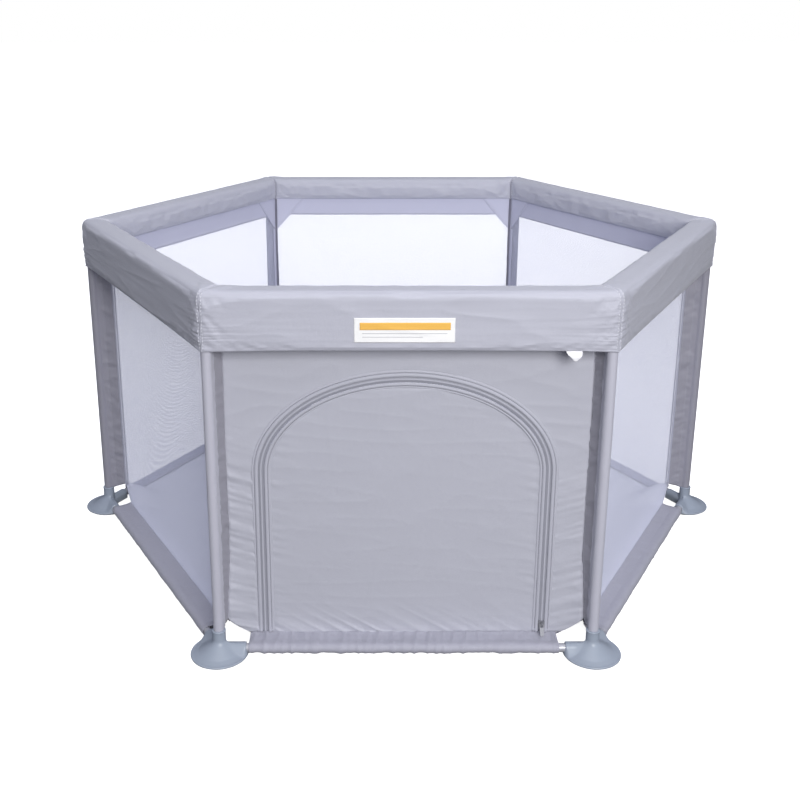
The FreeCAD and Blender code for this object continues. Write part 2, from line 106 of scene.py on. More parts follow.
FIN_TOP = 0.590
POCKET_RADIUS = 0.0084
POCKET_START = 0.0205     # the fin's flat part, from the bag to the tube pocket
SLEEVE_HALF = 0.266       # half a hem sleeve's length
SLEEVE_SHIFT = -0.0035    # how far a sleeve has slid along its rail
SLEEVE_RADIUS = 0.0085    # a hem sleeve's inside, round its rail
SLEEVE_LOW = 0.0012       # its lowest point
FRONT_PULL = 0.015        # how far the low front corners are drawn out towards their feet
PUFF_MOST = 0.0024        # how far stuffing may push a cover out
PUFF_LEAST = -0.0004      # and let it in
OUTLINE_STEP = 0.0012     # spacing of points round a cover's, foam block's, fin's and sleeve's section
FOAM_STEP = 0.002
FIN_STEP = 0.0016
SLEEVE_STEP = 0.0018
ZIP_STEP = 0.004          # spacing of points along the zip
ZIP_COLUMNS = 420         # of the sheets that follow it

# moulded sizes
FOOT_PAD = 0.002          # the moulding starts above its rubber pad
FOOT_SPREAD = 120         # a foot's rails leave at this many degrees from the way it faces
RAIL_ANGLES = (math.radians(FOOT_SPREAD), math.radians(-FOOT_SPREAD))
SOCKET_RADIUS = 0.0115
HOOD_RADIUS = 0.0105
HOOD_REACH = 0.046
AXIS = 0.0001             # a turned solid's hollow middle, too thin to see

TOUCHING = 0.000001       # points this close are one
LEAST = 1e-9              # a length to divide by in place of none
OUTWARD = Vector((0, -1, 0))        # the way the front side faces


def mix(a, b, share):
    """a at 0, b at 1."""
    return a + (b - a) * share


def ease(x):
    """0 below 0, 1 above 1, smooth between."""
    x = min(1.0, max(0.0, x))
    return x * x * (3 - 2 * x)


def fade(distance, reach):
    """1 at 0, falling off over reach."""
    return math.exp(-abs(distance) / reach)


def bell(distance, reach):
    """A smooth bump, 1 at 0."""
    return math.exp(-(distance / reach) ** 2)


def wave(x, y=0.0, z=0.0):
    """Smooth noise from -1 to 1."""
    return noise.noise(Vector((x, y, z)))


def fold(x, y=0.0, z=0.0):
    """Soft ridges, 0 to 1, like creases in cloth."""
    return (1 - abs(wave(x, y, z))) ** 3


# ---------------------------------------------------------------- meshes

def add_object(name, data):
    """A new object in the scene."""
    obj = bpy.data.objects.new(name, data)
    bpy.context.scene.collection.objects.link(obj)
    return obj


def build(name, points, faces, coordinates=None):
    """A smooth mesh object; coordinates holds each face's fabric coordinates, in metres."""
    mesh = bpy.data.meshes.new(name)
    mesh.from_pydata([tuple(p) for p in points], [], faces)
    if coordinates:
        layer = mesh.uv_layers.new(name="fabric")
        layer.data.foreach_set("uv", [value for face in coordinates for place in face for value in place])
    mesh.polygons.foreach_set("use_smooth", [True] * len(mesh.polygons))
    mesh.update()
    return add_object(name, mesh)


def grid(name, columns, rows, point, closed=False, capped=False):
    """A sheet of columns x rows cells. point(a, b) gives a place and its fabric coordinates."""
    kept = rows if closed else rows + 1
    points, flat, faces, coordinates = [], {}, [], []
    for i in range(columns + 1):
        for j in range(rows + 1):
            place, flat[i, j] = point(i / columns, j / rows)
            if j < kept:
                points.append(place)
    for i in range(columns):
        for j in range(rows):
            corners = ((i, j), (i + 1, j), (i + 1, j + 1), (i, j + 1))
            faces.append([a * kept + b % kept for a, b in corners])
            coordinates.append([flat[corner] for corner in corners])
    if capped:
        for i, order in ((0, range(kept)), (columns, reversed(range(kept)))):
            order = list(order)
            faces.append([i * kept + j for j in order])
            coordinates.append([flat[i, j] for j in order])
    return build(name, points, faces, coordinates)


def weld(obj, *others, outward=True):
    """Joins pieces into the first one, merges points that lie on each other and turns the faces outward."""
    mesh = bmesh.new()
    for piece in (obj, *others):
        mesh.from_mesh(piece.data)
    bmesh.ops.remove_doubles(mesh, verts=mesh.verts, dist=TOUCHING)
    if outward:
        bmesh.ops.recalc_face_normals(mesh, faces=mesh.faces)
    mesh.to_mesh(obj.data)
    mesh.free()
    for piece in others:
        bpy.data.objects.remove(piece)
    return obj


def thicken(obj, thickness, offset=0.0):
    """Gives a sheet the thickness of its cloth, applied."""
    modifier = obj.modifiers.new("thickness", "SOLIDIFY")
    modifier.thickness = thickness
    modifier.offset = offset
    return settle(obj)


def settle(obj):
    """Applies an object's modifiers."""
    evaluated = obj.evaluated_get(bpy.context.evaluated_depsgraph_get())
    mesh = bpy.data.meshes.new_from_object(evaluated)
    obj.modifiers.clear()
    obj.data = mesh
    return obj


def arc(centre, radius, start, end, steps):
    """Points round a centre, from one angle to another in degrees."""
    angles = [math.radians(mix(start, end, step / steps)) for step in range(steps + 1)]
    return [centre + Vector((math.cos(angle), math.sin(angle))) * radius for angle in angles]


def rounded(outline, spacing):
    """A closed outline of (x, y, corner radius) points as evenly spaced points, corners rounded."""
    steps = 5               # parts of each rounded corner
    path = []
    for index, (x, y, radius) in enumerate(outline):
        here = Vector((x, y))
        before = (Vector(outline[index - 1][:2]) - here).normalized()
        after = (Vector(outline[(index + 1) % len(outline)][:2]) - here).normalized()
        reach = radius / math.tan(before.angle(after) / 2)
        start, end = here + before * reach, here + after * reach
        for step in range(steps + 1):
            share = step / steps
            path.append(start.lerp(here, share).lerp(here.lerp(end, share), share))
    return even(path + path[:1], spacing)[:-1]


def even(path, spacing):
    """The same path with evenly spaced points, ends kept."""
    lengths = [(b - a).length for a, b in zip(path, path[1:])]
    total = sum(lengths)
    count = max(2, round(total / spacing))
    placed, index, passed = [], 0, 0.0
    for step in range(count):
        target = total * step / count
        while passed + lengths[index] < target:
            passed += lengths[index]
            index += 1
        placed.append(path[index].lerp(path[index + 1], (target - passed) / max(lengths[index], LEAST)))
    return placed + [path[-1]]


def normals_of(outline):
    """The outward direction at each point of a closed outline that runs anticlockwise."""
    after = outline[1:] + outline[:1]
    before = outline[-1:] + outline[:-1]
    return [Vector(((b - a).y, (a - b).x)).normalized() for a, b in zip(before, after)]


def route(steps, place, normal):
    """A stitch route: place(share) gives its points, and normal the way its cloth faces."""
    return [(place(step / steps), normal) for step in range(steps + 1)]


def stitches(name, routes, pitch=0.0034, length=0.0024, radius=0.00028):
    """Thread along routes, each a list of (place, outward normal): short strands that dip in at both ends."""
    sides = 5
    rings = ((0, -0.5), (0.25, 0.7), (0.75, 0.7), (1, -0.5))    # (share of a strand, lift in radii)
    points, faces = [], []
    for line in routes:
        places = [Vector(place) for place, _ in line]
        reached = [0.0]
        for a, b in zip(places, places[1:]):
            reached.append(reached[-1] + (b - a).length)

        def at(distance):
            index = bisect_left(reached, distance, 1, len(reached) - 1) - 1
            share = (distance - reached[index]) / max(reached[index + 1] - reached[index], LEAST)
            normal = Vector(line[index][1]).lerp(Vector(line[index + 1][1]), share)
            return places[index].lerp(places[index + 1], share), normal.normalized()

        for number in range(int(reached[-1] / pitch)):
            start = number * pitch + (pitch - length) / 2
            along = (at(start + length)[0] - at(start)[0]).normalized()
            for ring, (share, lift) in enumerate(rings):
                place, normal = at(start + length * share)
                across = along.cross(normal).normalized()
                for side in range(sides):
                    angle = 2 * math.pi * side / sides
                    out = across * math.cos(angle) + normal * (math.sin(angle) + lift)
                    points.append(place + out * radius)
                if ring:
                    base = len(points) - 2 * sides
                    for side in range(sides):
                        after = (side + 1) % sides
                        faces.append((base + side, base + after, base + sides + after, base + sides + side))
    return build(name, points, faces)


def cloth_relax(obj, pinned, pressure, growth, frames):
    """Blender's cloth solver puffs a sewn piece, pinned points staying; returns how each point moved."""
    group = obj.vertex_groups.new(name="pinned")
    group.add(pinned, 1.0, "REPLACE")
    cloth = obj.modifiers.new("cloth", "CLOTH")
    fabric = {"quality": 5, "mass": 0.15, "tension_stiffness": 20, "compression_stiffness": 20,
              "shear_stiffness": 8, "bending_stiffness": 0.15, "vertex_group_mass": group.name,
              "use_pressure": True, "uniform_pressure_force": pressure, "shrink_min": growth}
    for key, value in fabric.items():
        setattr(cloth.settings, key, value)
    cloth.settings.effector_weights.gravity = 0
    cloth.collision_settings.use_collision = False
    cloth.point_cache.frame_start = 1
    cloth.point_cache.frame_end = frames
    scene = bpy.context.scene
    for number in range(1, frames + 1):
        scene.frame_set(number)
    evaluated = obj.evaluated_get(bpy.context.evaluated_depsgraph_get())
    moved = [after.co - before.co for before, after in zip(obj.data.vertices, evaluated.data.vertices)]
    obj.modifiers.clear()
    scene.frame_set(1)
    return moved


# ---------------------------------------------------------------- materials

def feed(shader, sockets):
    """Sets a shader node's inputs, each to a value or to the socket that it comes from."""
    for socket, value in sockets.items():
        if isinstance(value, bpy.types.NodeSocket):
            shader.id_data.links.new(value, shader.inputs[socket])
        else:
            shader.inputs[socket].default_value = value


def add(tree, kind, sockets=None, output=0, **settings):
    """Adds a shader node with those inputs and settings; gives one of its outputs."""
    made = tree.nodes.new("ShaderNode" + kind)
    for key, value in settings.items():
        setattr(made, key, value)
    feed(made, sockets or {})
    return made.outputs[output]


def maths(tree, operation, first, second=0.0):
    """The result of one sum on two values."""
    return add(tree, "Math", {0: first, 1: second}, operation=operation)


def times(tree, value, factor):
    """A value multiplied."""
    return maths(tree, "MULTIPLY", value, factor)


def blank(name, roughness):
    """A new material with a lone Principled shader."""
    material = bpy.data.materials.new(name)
    material.use_nodes = True
    surface = material.node_tree.nodes["Principled BSDF"]
    feed(surface, {"Roughness": roughness})
    return material, material.node_tree, surface


def ripple(tree, value, pitch, shape="SINE"):
    """A wave of that pitch, in metres, along a fabric coordinate."""
    return maths(tree, shape, times(tree, value, 2 * math.pi / pitch))


def speckle(tree, place, scale, detail=2.0, **more):
    """Noise, 0 to 1, with that many specks a metre."""
    return add(tree, "TexNoise", {"Vector": place, "Scale": scale, "Detail": detail, **more})


def bump(tree, height, strength, distance, **more):
    """A normal that follows a height."""
    return add(tree, "Bump", {"Strength": strength, "Distance": distance, "Height": height, **more})


def fabric_axes(tree):
    """The fabric coordinates, across and along the threads."""
    split = add(tree, "SeparateXYZ", {0: add(tree, "UVMap", uv_map="fabric")}).node
    return split.outputs[0], split.outputs[1]


def shades(tree, factor, dark, light):
    """A blend of two colours."""
    first, second, result = 6, 7, 2     # a Mix node's colour sockets
    return add(tree, "Mix", {0: factor, first: dark, second: light}, result, data_type="RGBA")


def tinted(colour, factor=1.0):
    """A colour given as it looks on screen, 0 to 255, as the renderer wants it, made lighter or darker."""
    return tuple(min(1.0, ((c / 255 + 0.055) / 1.055) ** 2.4 * factor) for c in colour) + (1,)


def woven(name, colour, thread=0.0007, sheen=0.25, crease=0.5, slub=0.05, cover=1.0):
    """Plain-weave polyester: crossing threads, uneven picks and a soft crumple."""
    material, tree, surface = blank(name, roughness=0.5)
    across, along = fabric_axes(tree)
    weave = times(tree, ripple(tree, across, thread), ripple(tree, along, thread))
    stretched = add(tree, "CombineXYZ", {0: times(tree, across, 9.0), 1: times(tree, along, 900.0)})
    picks = speckle(tree, stretched, 1.0)
    place = add(tree, "TexCoord", output="Object")
    clouds = speckle(tree, place, 7.0, 3.0)
    uneven = maths(tree, "ADD", times(tree, picks, 0.6), times(tree, clouds, 0.4))
    toned = shades(tree, uneven, tinted(colour, 1 - slub), tinted(colour, 1 + slub))
    crumple = speckle(tree, place, 38.0, 4.0, Roughness=0.55, Distortion=0.6)
    soft = bump(tree, crumple, crease, 0.0012)
    raised = add(tree, "Math", {0: weave, 1: 0.5, 2: 0.5}, operation="MULTIPLY_ADD")    # 0 to 1
    feed(surface, {
        "Base Color": shades(tree, raised, toned, tinted(colour, 1.05)),
        "Normal": bump(tree, weave, 0.35, 0.00012, Normal=soft),
        "Sheen Weight": sheen, "Sheen Roughness": 0.4, "Specular IOR Level": 0.35, "Alpha": cover})
    return material


def netting(name, colour):
    """Knitted net: diamond holes between threads, seen through."""
    cell = 0.0017                   # a diamond's width
    softness = 0.6                  # how gradually thread gives way to hole
    thread, veil = 0.88, 0.24       # how much a thread and a hole cover
    material, tree, surface = blank(name, roughness=0.6)
    across, along = fabric_axes(tree)
    tall = times(tree, along, 0.75)
    rising, falling = (ripple(tree, maths(tree, turn, across, tall), cell, "COSINE")
                       for turn in ("ADD", "SUBTRACT"))
    lattice = maths(tree, "ADD", rising, falling)
    tone = speckle(tree, add(tree, "TexCoord", output="Object"), 9.0)
    feed(surface, {
        "Alpha": add(tree, "MapRange", {"Value": lattice, "From Min": -softness, "From Max": softness,
                                        "To Min": thread, "To Max": veil}),
        "Base Color": shades(tree, tone, tinted(colour, 0.94), tinted(colour)),
        "Normal": add(tree, "Bump", {"Strength": 0.05, "Distance": 0.0001, "Height": lattice}, invert=True),
        "Sheen Weight": 0.8, "Sheen Tint": (0.85, 0.87, 1.0, 1)})
    return material


def moulded(name, colour, roughness=0.38, grain=0.12, wear=1.12):
    """Injection-moulded plastic: faint orange peel, edges rubbed lighter."""
    material, tree, surface = blank(name, roughness)
    place = add(tree, "TexCoord", output="Object")
    toned = shades(tree, speckle(tree, place, 22.0, 3.0), tinted(colour, 0.96), tinted(colour, 1.04))
    edge = add(tree, "MapRange", {"Value": add(tree, "NewGeometry", output="Pointiness"),
                                  "From Min": 0.52, "From Max": 0.6})
    feed(surface, {"Base Color": shades(tree, edge, toned, tinted(colour, wear)),
                   "Normal": bump(tree, speckle(tree, place, 900.0), grain, 0.0002)})
    return material


def metal(name, colour, roughness, metallic):
    """Plated or painted metal with fine drawn scratches."""
    material, tree, surface = blank(name, roughness)
    scratch = speckle(tree, add(tree, "TexCoord", output="Object"), 420.0, 3.0, Distortion=1.5)
    feed(surface, {
        "Base Color": shades(tree, scratch, tinted(colour, 0.9), tinted(colour, 1.05)),
        "Roughness": add(tree, "MapRange", {"Value": scratch, "To Min": roughness - 0.08,
                                            "To Max": roughness + 0.12}),
        "Normal": bump(tree, scratch, 0.08, 0.0001),
        "Metallic": metallic})
    return material


MATERIALS = {
    "cover_fabric": woven("cover_cloth", (187, 188, 200), crease=0.4),
    "panel_fabric": woven("panel_cloth", (185, 186, 197), crease=0.4),
    # fin cloth darkened with painted shade, for the web that lies in shade between post and bag
    "fin_fabric": woven("fin_cloth_painted_shade", (153, 152, 163), crease=0.6),
    # a lighter copy of the fin's cloth: painted light on the tube pocket that faces the lamps
    "pocket_fabric_painted_light": woven("pocket_cloth_painted_light", (190, 190, 202), crease=0.4),
    "hem_fabric": woven("hem_cloth", (171, 171, 184), crease=0.6),
    # dark tape: its own grey deepened with painted shade for the shadowed seams and turned-under edges
    "binding_painted_shade": woven("binding_tape_painted_shade", (118, 118, 132), thread=0.0009, crease=0.3, sheen=0.1),
    "floor_fabric": woven("floor_cloth", (238, 240, 255), crease=0.6),
    "band_fabric": woven("band_cloth", (214, 215, 234), thread=0.0012, crease=0.2, sheen=0.3, cover=0.8),
    "mesh": netting("net", (226, 229, 250)),
    "thread": woven("sewing_thread", (172, 173, 183), thread=0.0003, crease=0.0),
    # darker thread: partly its own colour, partly painted shade for the grooves beside the zip's lips
    "thread_painted_groove_shade": woven("thread_painted_groove_shade", (120, 120, 132), thread=0.0003, crease=0.0),
    "pale_thread": woven("pale_thread", (228, 229, 236), thread=0.0003, crease=0.0),
    "zip_tape": woven("zip_tape_cloth", (150, 151, 162), thread=0.0009, crease=0.2),
    "coil": moulded("zip_coil_nylon", (182, 183, 194), roughness=0.42),
    "foot_plastic": moulded("foot_moulding", (157, 166, 180), roughness=0.34),
    "connector_plastic": moulded("connector_moulding", (156, 164, 178), roughness=0.45),
    "pad_rubber": moulded("pad_rubber", (96, 98, 104), roughness=0.75, grain=0.4, wear=1.05),
    "tube": metal("painted_tube", (190, 191, 199), roughness=0.32, metallic=0.25),
    "zip_metal": metal("zip_slider_metal", (136, 137, 144), roughness=0.5, metallic=0.3),
    "foam": moulded("foam", (220, 220, 216), roughness=0.95, grain=1.0, wear=1.0),
    "label": woven("label_satin", (250, 250, 250), thread=0.0004, crease=0.1, slub=0.01),
    "label_bar": woven("label_bar_ink", (246, 192, 92), thread=0.0004, crease=0.1, slub=0.02),
    "label_rule": woven("label_rule_ink", (204, 204, 208), thread=0.0004, crease=0.1, slub=0.02),
    "tag": woven("tag_satin", (246, 246, 250), thread=0.0004, crease=0.2, slub=0.01),
}


def finish_piece(obj, material, step=0, replaces=(), body="frame"):
    """Turns a piece to its side or corner; gives it material, stood-for nodes and body."""
    obj.rotation_euler.z = math.radians(60 * step)
    obj.data.materials.clear()
    obj.data.materials.append(MATERIALS[material])
    if replaces:
        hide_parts(*replaces)
    if body:
        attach(obj, body)
    return obj


# ---------------------------------------------------------------- rail covers

COVER_OUTLINE = rounded([
    (COVER_IN + 0.0012, INNER_HEM, 0.0022),
    (COVER_IN, COVER_TOP, 0.0185),
    (COVER_OUT, COVER_TOP, 0.0135),
    (COVER_OUT - 0.0006, COVER_HEM, 0.0018),
    (COVER_OUT - 0.0044, COVER_HEM, 0.0018),
    (COVER_OUT - 0.0066, INNER_HEM + 0.002, 0.004),
][::-1], OUTLINE_STEP)
COVER_NORMALS = normals_of(COVER_OUTLINE)


def is_hidden(index):
    """True for the cover's underside and its skirt's inner face, which lie against the frame."""
    place, normal = COVER_OUTLINE[index], COVER_NORMALS[index]
    turned_away = -0.3
    on_skirt = place.x > COVER_IN + 0.02
    return normal.y < turned_away or (normal.x < turned_away and on_skirt)


def cover_place(a, index, push=0.0):
    """A point of a cover's plain shape, pushed out from its surface, pulled in at its seam."""
    outline, normal = COVER_OUTLINE[index], COVER_NORMALS[index]
    share = 2 * a - 1
    # more columns near the seams, where the cloth is gathered
    share = math.sin(share * math.pi / 2) * 0.7 + share * 0.3
    half = outline.x * MITRE
    x = share * half
    from_seam = half - abs(x)
    if not is_hidden(index):
        swell, dip = 0.0006 * bell(from_seam - 0.02, 0.012), 0.0026 * bell(from_seam, 0.0030)
        push += swell - dip
    skirt = ease((INNER_HEM - outline.y) / (INNER_HEM - COVER_HEM))
    lifted = 0.0028 * skirt * (1 - share ** 4)      # the skirt's hem bows up between its seams
    return Vector((x, -outline.x - normal.x * push, outline.y + normal.y * push + lifted))


def cover_puff(columns, skip):
    """How far the stuffing pushes a cover out, by the cloth solver on every skip-th point of its section."""
    rows = len(COVER_OUTLINE) // skip

    def place(a, b):
        spot = cover_place(a, (round(b * rows) % rows) * skip)
        return spot, (spot.x, b)

    obj = grid("cover_puff", columns, rows, place, closed=True, capped=True)
    held = 0.006            # of the hem
    pinned = [i for i in range(len(obj.data.vertices))
              if is_hidden(i % rows * skip) or i // rows in (0, columns)
              or COVER_OUTLINE[i % rows * skip].y < COVER_HEM + held]
    moved = cloth_relax(obj, pinned, pressure=5.0, growth=-0.012, frames=16)
    bpy.data.objects.remove(obj)
    puff = []
    for column in range(columns + 1):
        line = []
        for row in range(rows):
            normal = COVER_NORMALS[row * skip]
            out = moved[column * rows + row].dot(Vector((0, -normal.x, normal.y)))
            line.append(min(PUFF_MOST, max(PUFF_LEAST, out)))
        puff.append(line)
    return puff


def rail_cover(step, side, puff, skip):
    """One padded sleeve over a top rail: round pad above, skirt outside, pulled in at both corner seams."""
    rows = len(COVER_OUTLINE)
    columns = 110
    mirrored = step % 2

    def puffed(a, index):
        across = (1 - a if mirrored else a) * (len(puff) - 1)
        down = index / skip
        i, j = min(int(across), len(puff) - 2), int(down)
        count = len(puff[0])
        first, second = (mix(line[j % count], line[(j + 1) % count], down - j) for line in puff[i:i + 2])
        return mix(first, second, across - i)

    def place(a, b):
        index = round(b * rows) % rows
        spot = cover_place(a, index, puffed(a, index))
        return spot, (spot.x, b * rows * OUTLINE_STEP)

    obj = grid(f"padded_cover_{side}", columns, rows, place, closed=True, capped=True)
    add_cover_creases(obj, rows, step)
    return obj


def add_cover_creases(obj, rows, step):
    """Fine level ridges that run into the corner seams, long soft ones between, a crumpled inner face."""
    seed = 11.3 * step
    for index, vertex in enumerate(obj.data.vertices):
        row = index % rows
        if is_hidden(row):
            continue
        outline, normal = COVER_OUTLINE[row], COVER_NORMALS[row]
        x = vertex.co.x
        from_seam = outline.x * MITRE - abs(x)
        level = row * OUTLINE_STEP
        inner = max(0.0, -normal.x)
        outer = max(0.0, normal.x)
        low = ease((SKIRT_TOP - outline.y) / 0.055)
        fan = level + from_seam * 0.10 * (1 - low)
        fine = outer * fade(from_seam, 0.022) * (0.2 + 0.8 * low)
        broad = outer * fade(from_seam, 0.042) * (0.3 + 0.7 * low)
        push = 0.0017 * fine * wave(from_seam * 16, fan * 460, seed)
        push += 0.0016 * broad * wave(x * 9, fan * 190, seed + 3)
        long_crease = fold(x * 5 + level * 12, level * 30 - x * 3.5, seed + 5)
        push += 0.0007 * outer * (long_crease ** 2 - 0.15)
        push += 0.0003 * outer * wave(x * 5, level * 110, seed + 7)
        push += 0.0021 * inner * (fold(x * 30 + level * 16, level * 24 - x * 6, seed + 9) - 0.35)
        push += 0.0008 * inner * wave(x * 75, level * 60, seed + 11)
        push += 0.0005 * wave(x * 24, level * 24, seed + 2)
        push *= ease((from_seam - 0.0012) / 0.004)
        vertex.co += Vector((0, -normal.x, normal.y)) * push
    obj.data.update()


def cover_stitching(tree, side):
    """A row of thread beside each of the cover's corner seams, laid on its own surface."""
    inset = 0.0042
    clear = 0.003           # of the hem
    above = 0.02            # where the search for the surface starts
    routes = []
    for end in (-1, 1):
        line = []
        for index, (outline, normal) in enumerate(zip(COVER_OUTLINE, COVER_NORMALS)):
            if is_hidden(index) or outline.y < COVER_HEM + clear:
                continue
            spot = Vector((end * (outline.x * MITRE - inset), -outline.x, outline.y))
            outward = Vector((0, -normal.x, normal.y))
            place, facing = tree.ray_cast(spot + outward * above, -outward, 2 * above)[:2]
            if place is not None:
                line.append((place, facing))
        routes.append(line[::2])
    return stitches(f"cover_stitching_{side}", routes, pitch=0.0056, length=0.0031, radius=0.0005)


def rail_covers():
    """Six padded covers, their stitching and the foam inside them; gives the front cover's surface."""
    trees = []
    skip = 4
    puff = cover_puff(columns=70, skip=skip)
    for step, side in enumerate(SIDES):
        cover = rail_cover(step, side, puff, skip)
        trees.append(BVHTree.FromObject(cover, bpy.context.evaluated_depsgraph_get()))
        finish_piece(cover_stitching(trees[-1], side), "pale_thread", step)
        finish_piece(cover, "cover_fabric", step, replaces=[f"rail_cover_{side}"])
        foam = finish_piece(foam_block(side), "foam", step, replaces=["rail_foam"])
    return trees[0]


def foam_outline(rail):
    """A rounded block's section, (apothem, height), with a bore for the rail and a slit below it."""
    low, high = INNER_HEM + 0.003, COVER_TOP - 0.0026
    near, far = COVER_IN + 0.0032, COVER_OUT - 0.0030
    slit = 0.0016
    block = rounded([(near, low, 0.006), (far, low, 0.006), (far, high, 0.0115), (near, high, 0.0150)],
                    FOAM_STEP)
    outer = [p for p in block if abs(p.x - rail.x) > slit or p.y > rail.y]
    start = min((i for i, p in enumerate(outer) if p.y < low + 0.0005 and p.x > rail.x),
                key=lambda i: outer[i].x)
    return outer[start:] + outer[:start] + arc(rail, TUBE_RADIUS + 0.0003, 258, -78, 28)


def foam_block(side):
    """A split foam block pushed over a top rail, inside the cover."""
    rail = Vector(((TOP_RAIL_LOW.y + TOP_RAIL_HIGH.y) / -2, (TOP_RAIL_LOW.z + TOP_RAIL_HIGH.z) / 2))
    outline = foam_outline(rail)
    rows = len(outline)
    half = 0.282

    def place(a, b):
        point = outline[round(b * rows) % rows]
        x = mix(-half, half, a)
        rough = 0.0002 * wave(x * 60, b * 40)
        return Vector((x, -point.x - rough, point.y + rough)), (x, b * rows * FOAM_STEP)

    return grid(f"foam_block_{side}", 40, rows, place, closed=True, capped=True)


# ---------------------------------------------------------------- the bag: walls, fins, floor, hems

def corner_pull(corner):
    """How far a corner's low end is drawn out: only the two beside the door are."""
    return FRONT_PULL if corner.startswith("front") else 0.0


def side_pull(side, x):
    """The same at the end of a side that x lies towards."""
    drawn_out = ("front", "front_left" if x > 0 else "front_right")
    return FRONT_PULL if side in drawn_out else 0.0


def bag_radius(height, pull=FRONT_PULL):
    """The bag's corner seam from the centre, drawn out by the pull at its low end."""
    return FIN_INNER - 0.002 + pull * ease((0.22 - height) / 0.2)


def seam_height(x):
    """The bag's bottom seam: level, and rising in a curve to each corner."""
    return mix(SEAM_HEIGHT, CORNER_LIFT, ease((abs(x) - CORNER_RUN) / (BAG_HALF - CORNER_RUN)) ** 0.8)


def wall(x, height, flatness=6, pull=FRONT_PULL):
    """How far out a side's cloth is at a place: flat, drawn out near the low corners."""
    pulled = bag_radius(height, pull) / TO_CORNER - BAG
    return BAG + max(0.0, pulled) * min(1.0, abs(x) / BAG_HALF) ** flatness


def wall_half(height, pull=FRONT_PULL):
    """Half a side's width at a height."""
    return bag_radius(height, pull) / 2


def net(step, side):
    """One net, stretched between the corner seams, the band and the bottom seam."""
    seed = 5.1 * step
    belly, tall = 0.0035, 0.54          # how far its middle leans in, over what height

    def place(a, b):
        share = 2 * a - 1
        bottom = seam_height(share * BAG_HALF)
        height = mix(bottom, BAG_TOP - 0.002, b)
        pull = side_pull(side, share)
        half = wall_half(height, pull)
        x = share * half
        inward = belly * (1 - share ** 2) * math.sin(math.pi * min(1, (height - SEAM_HEIGHT) / tall))
        low = fade(height - bottom, 0.03) * ease((height - bottom) / 0.006)
        edge = fade(half - abs(x), 0.02) * ease((half - abs(x)) / 0.004)
        pucker = 0.0011 * low * wave(x * 42 + height * 12, 0, seed)
        pucker += 0.0009 * edge * wave(height * 45, 3, seed)
        pucker += 0.0010 * wave(x * 5, height * 5, seed)
        out = wall(x, height, pull=pull) - inward + pucker
        return Vector((x, -out, height)), (x, height)

    return grid(f"net_{side}", 120, 110, place)


def zip_line():
    """The zip's middle line: up one leg, over the arch and down the other, with outward normals."""
    legs, turns = 40, 120   # parts of each leg and of the arch
    left, right = ARCH_MIDDLE - ARCH_HALF, ARCH_MIDDLE + ARCH_HALF
    path = [Vector((left, mix(ZIP_FLOOR, ARCH_SPRING, step / legs))) for step in range(legs)]
    for step in range(turns + 1):
        angle = math.pi * (1 - step / turns)
        path.append(Vector((ARCH_MIDDLE + ARCH_HALF * math.cos(angle),
                            ARCH_SPRING + ARCH_RISE * math.sin(angle))))
    path += [Vector((right, mix(ARCH_SPRING, ZIP_FLOOR, step / legs))) for step in range(1, legs + 1)]
    path = even(path, ZIP_STEP)
    line = []
    for place, before, after in zip(path, path[:1] + path, path[1:] + path[-1:]):
        along = after - before
        line.append((place, Vector((-along.y, along.x)).normalized()))
    return line


ZIP_LINE = zip_line()
ZIP_LENGTH = (len(ZIP_LINE) - 1) * (ZIP_LINE[1][0] - ZIP_LINE[0][0]).length


def near_zip(share, offset):
    """A place on the front wall, (x, height), that far outside the zip's middle line."""
    position = share * (len(ZIP_LINE) - 1)
    index = min(int(position), len(ZIP_LINE) - 2)
    (start, normal), (end, next_normal) = ZIP_LINE[index], ZIP_LINE[index + 1]
    part = position - index
    return start.lerp(end, part) + normal.lerp(next_normal, part).normalized() * offset


def panel_edge(share):
    """Where the front panel ends, beyond the zip at that share of its length."""
    place = near_zip(share, 0)
    if place.y <= ARCH_SPRING:
        height = max(place.y, SEAM_HEIGHT + 0.0005)
        reach = wall_half(height)
        if height < CORNER_LIFT:
            rise = ((height - SEAM_HEIGHT) / (CORNER_LIFT - SEAM_HEIGHT)) ** 0.6
            reach = mix(CORNER_RUN - 0.002, wall_half(CORNER_LIFT), rise)
        return Vector((-reach if place.x < ARCH_MIDDLE else reach, height))
    centre = Vector((ARCH_MIDDLE, ARCH_SPRING))
    away = (place - centre).normalized()
    side = BAG_HALF if away.x > 0 else -BAG_HALF
    to_side = (side - centre.x) / away.x if away.x else math.inf
    to_top = (BAG_TOP - centre.y) / away.y if away.y > 0 else math.inf
    return centre + away * min(to_side, to_top)


def panel_relief(x, height, from_zip, from_edge):
    """The front panel's puckers: slanting ones between the zip and the side seams, slack under the cover."""
    beside = 0.15 + 0.85 * ease((ARCH_SPRING + 0.10 - height) / 0.16)
    outward = 1 if x > ARCH_MIDDLE else -1
    slant = height * 108 - outward * x * 34
    pucker = wave(slant, x * 5, 2.0) + 0.5 * wave(slant * 2.1, x * 12, 4.0)
    shaded = 1.5 if outward < 0 else 1.0
    out = 0.0024 * shaded * beside * pucker * max(fade(from_edge, 0.024), fade(from_zip, 0.016) * 0.8)
    out += 0.0006 * fade(from_zip, 0.010) * wave(x * 80, height * 80, 1.0)
    out += 0.0018 * wave(x * 4.2, height * 4.2, 7.0)
    out += 0.0008 * (fold(x * 9 + height * 12, height * 22 - x * 5, 3.0) ** 2 - 0.2)
    return out * ease(from_edge / 0.004)


def front_panel():
    """The cloth round the door, from its folded edge on the zip to the side and top seams."""
    def place(a, b):
        start = near_zip(a, LIP_END - TUCK)
        end = panel_edge(a)
        flat = start.lerp(end, b)
        from_zip = (flat - start).length
        from_edge = (end - flat).length
        out = wall(flat.x, flat.y, 14) + panel_relief(flat.x, flat.y, from_zip, from_edge) * ease(b * 8)
        return Vector((flat.x, -out, flat.y)), (flat.x, flat.y)

    return thicken(grid("front_panel_cloth", ZIP_COLUMNS, 30, place), CLOTH)


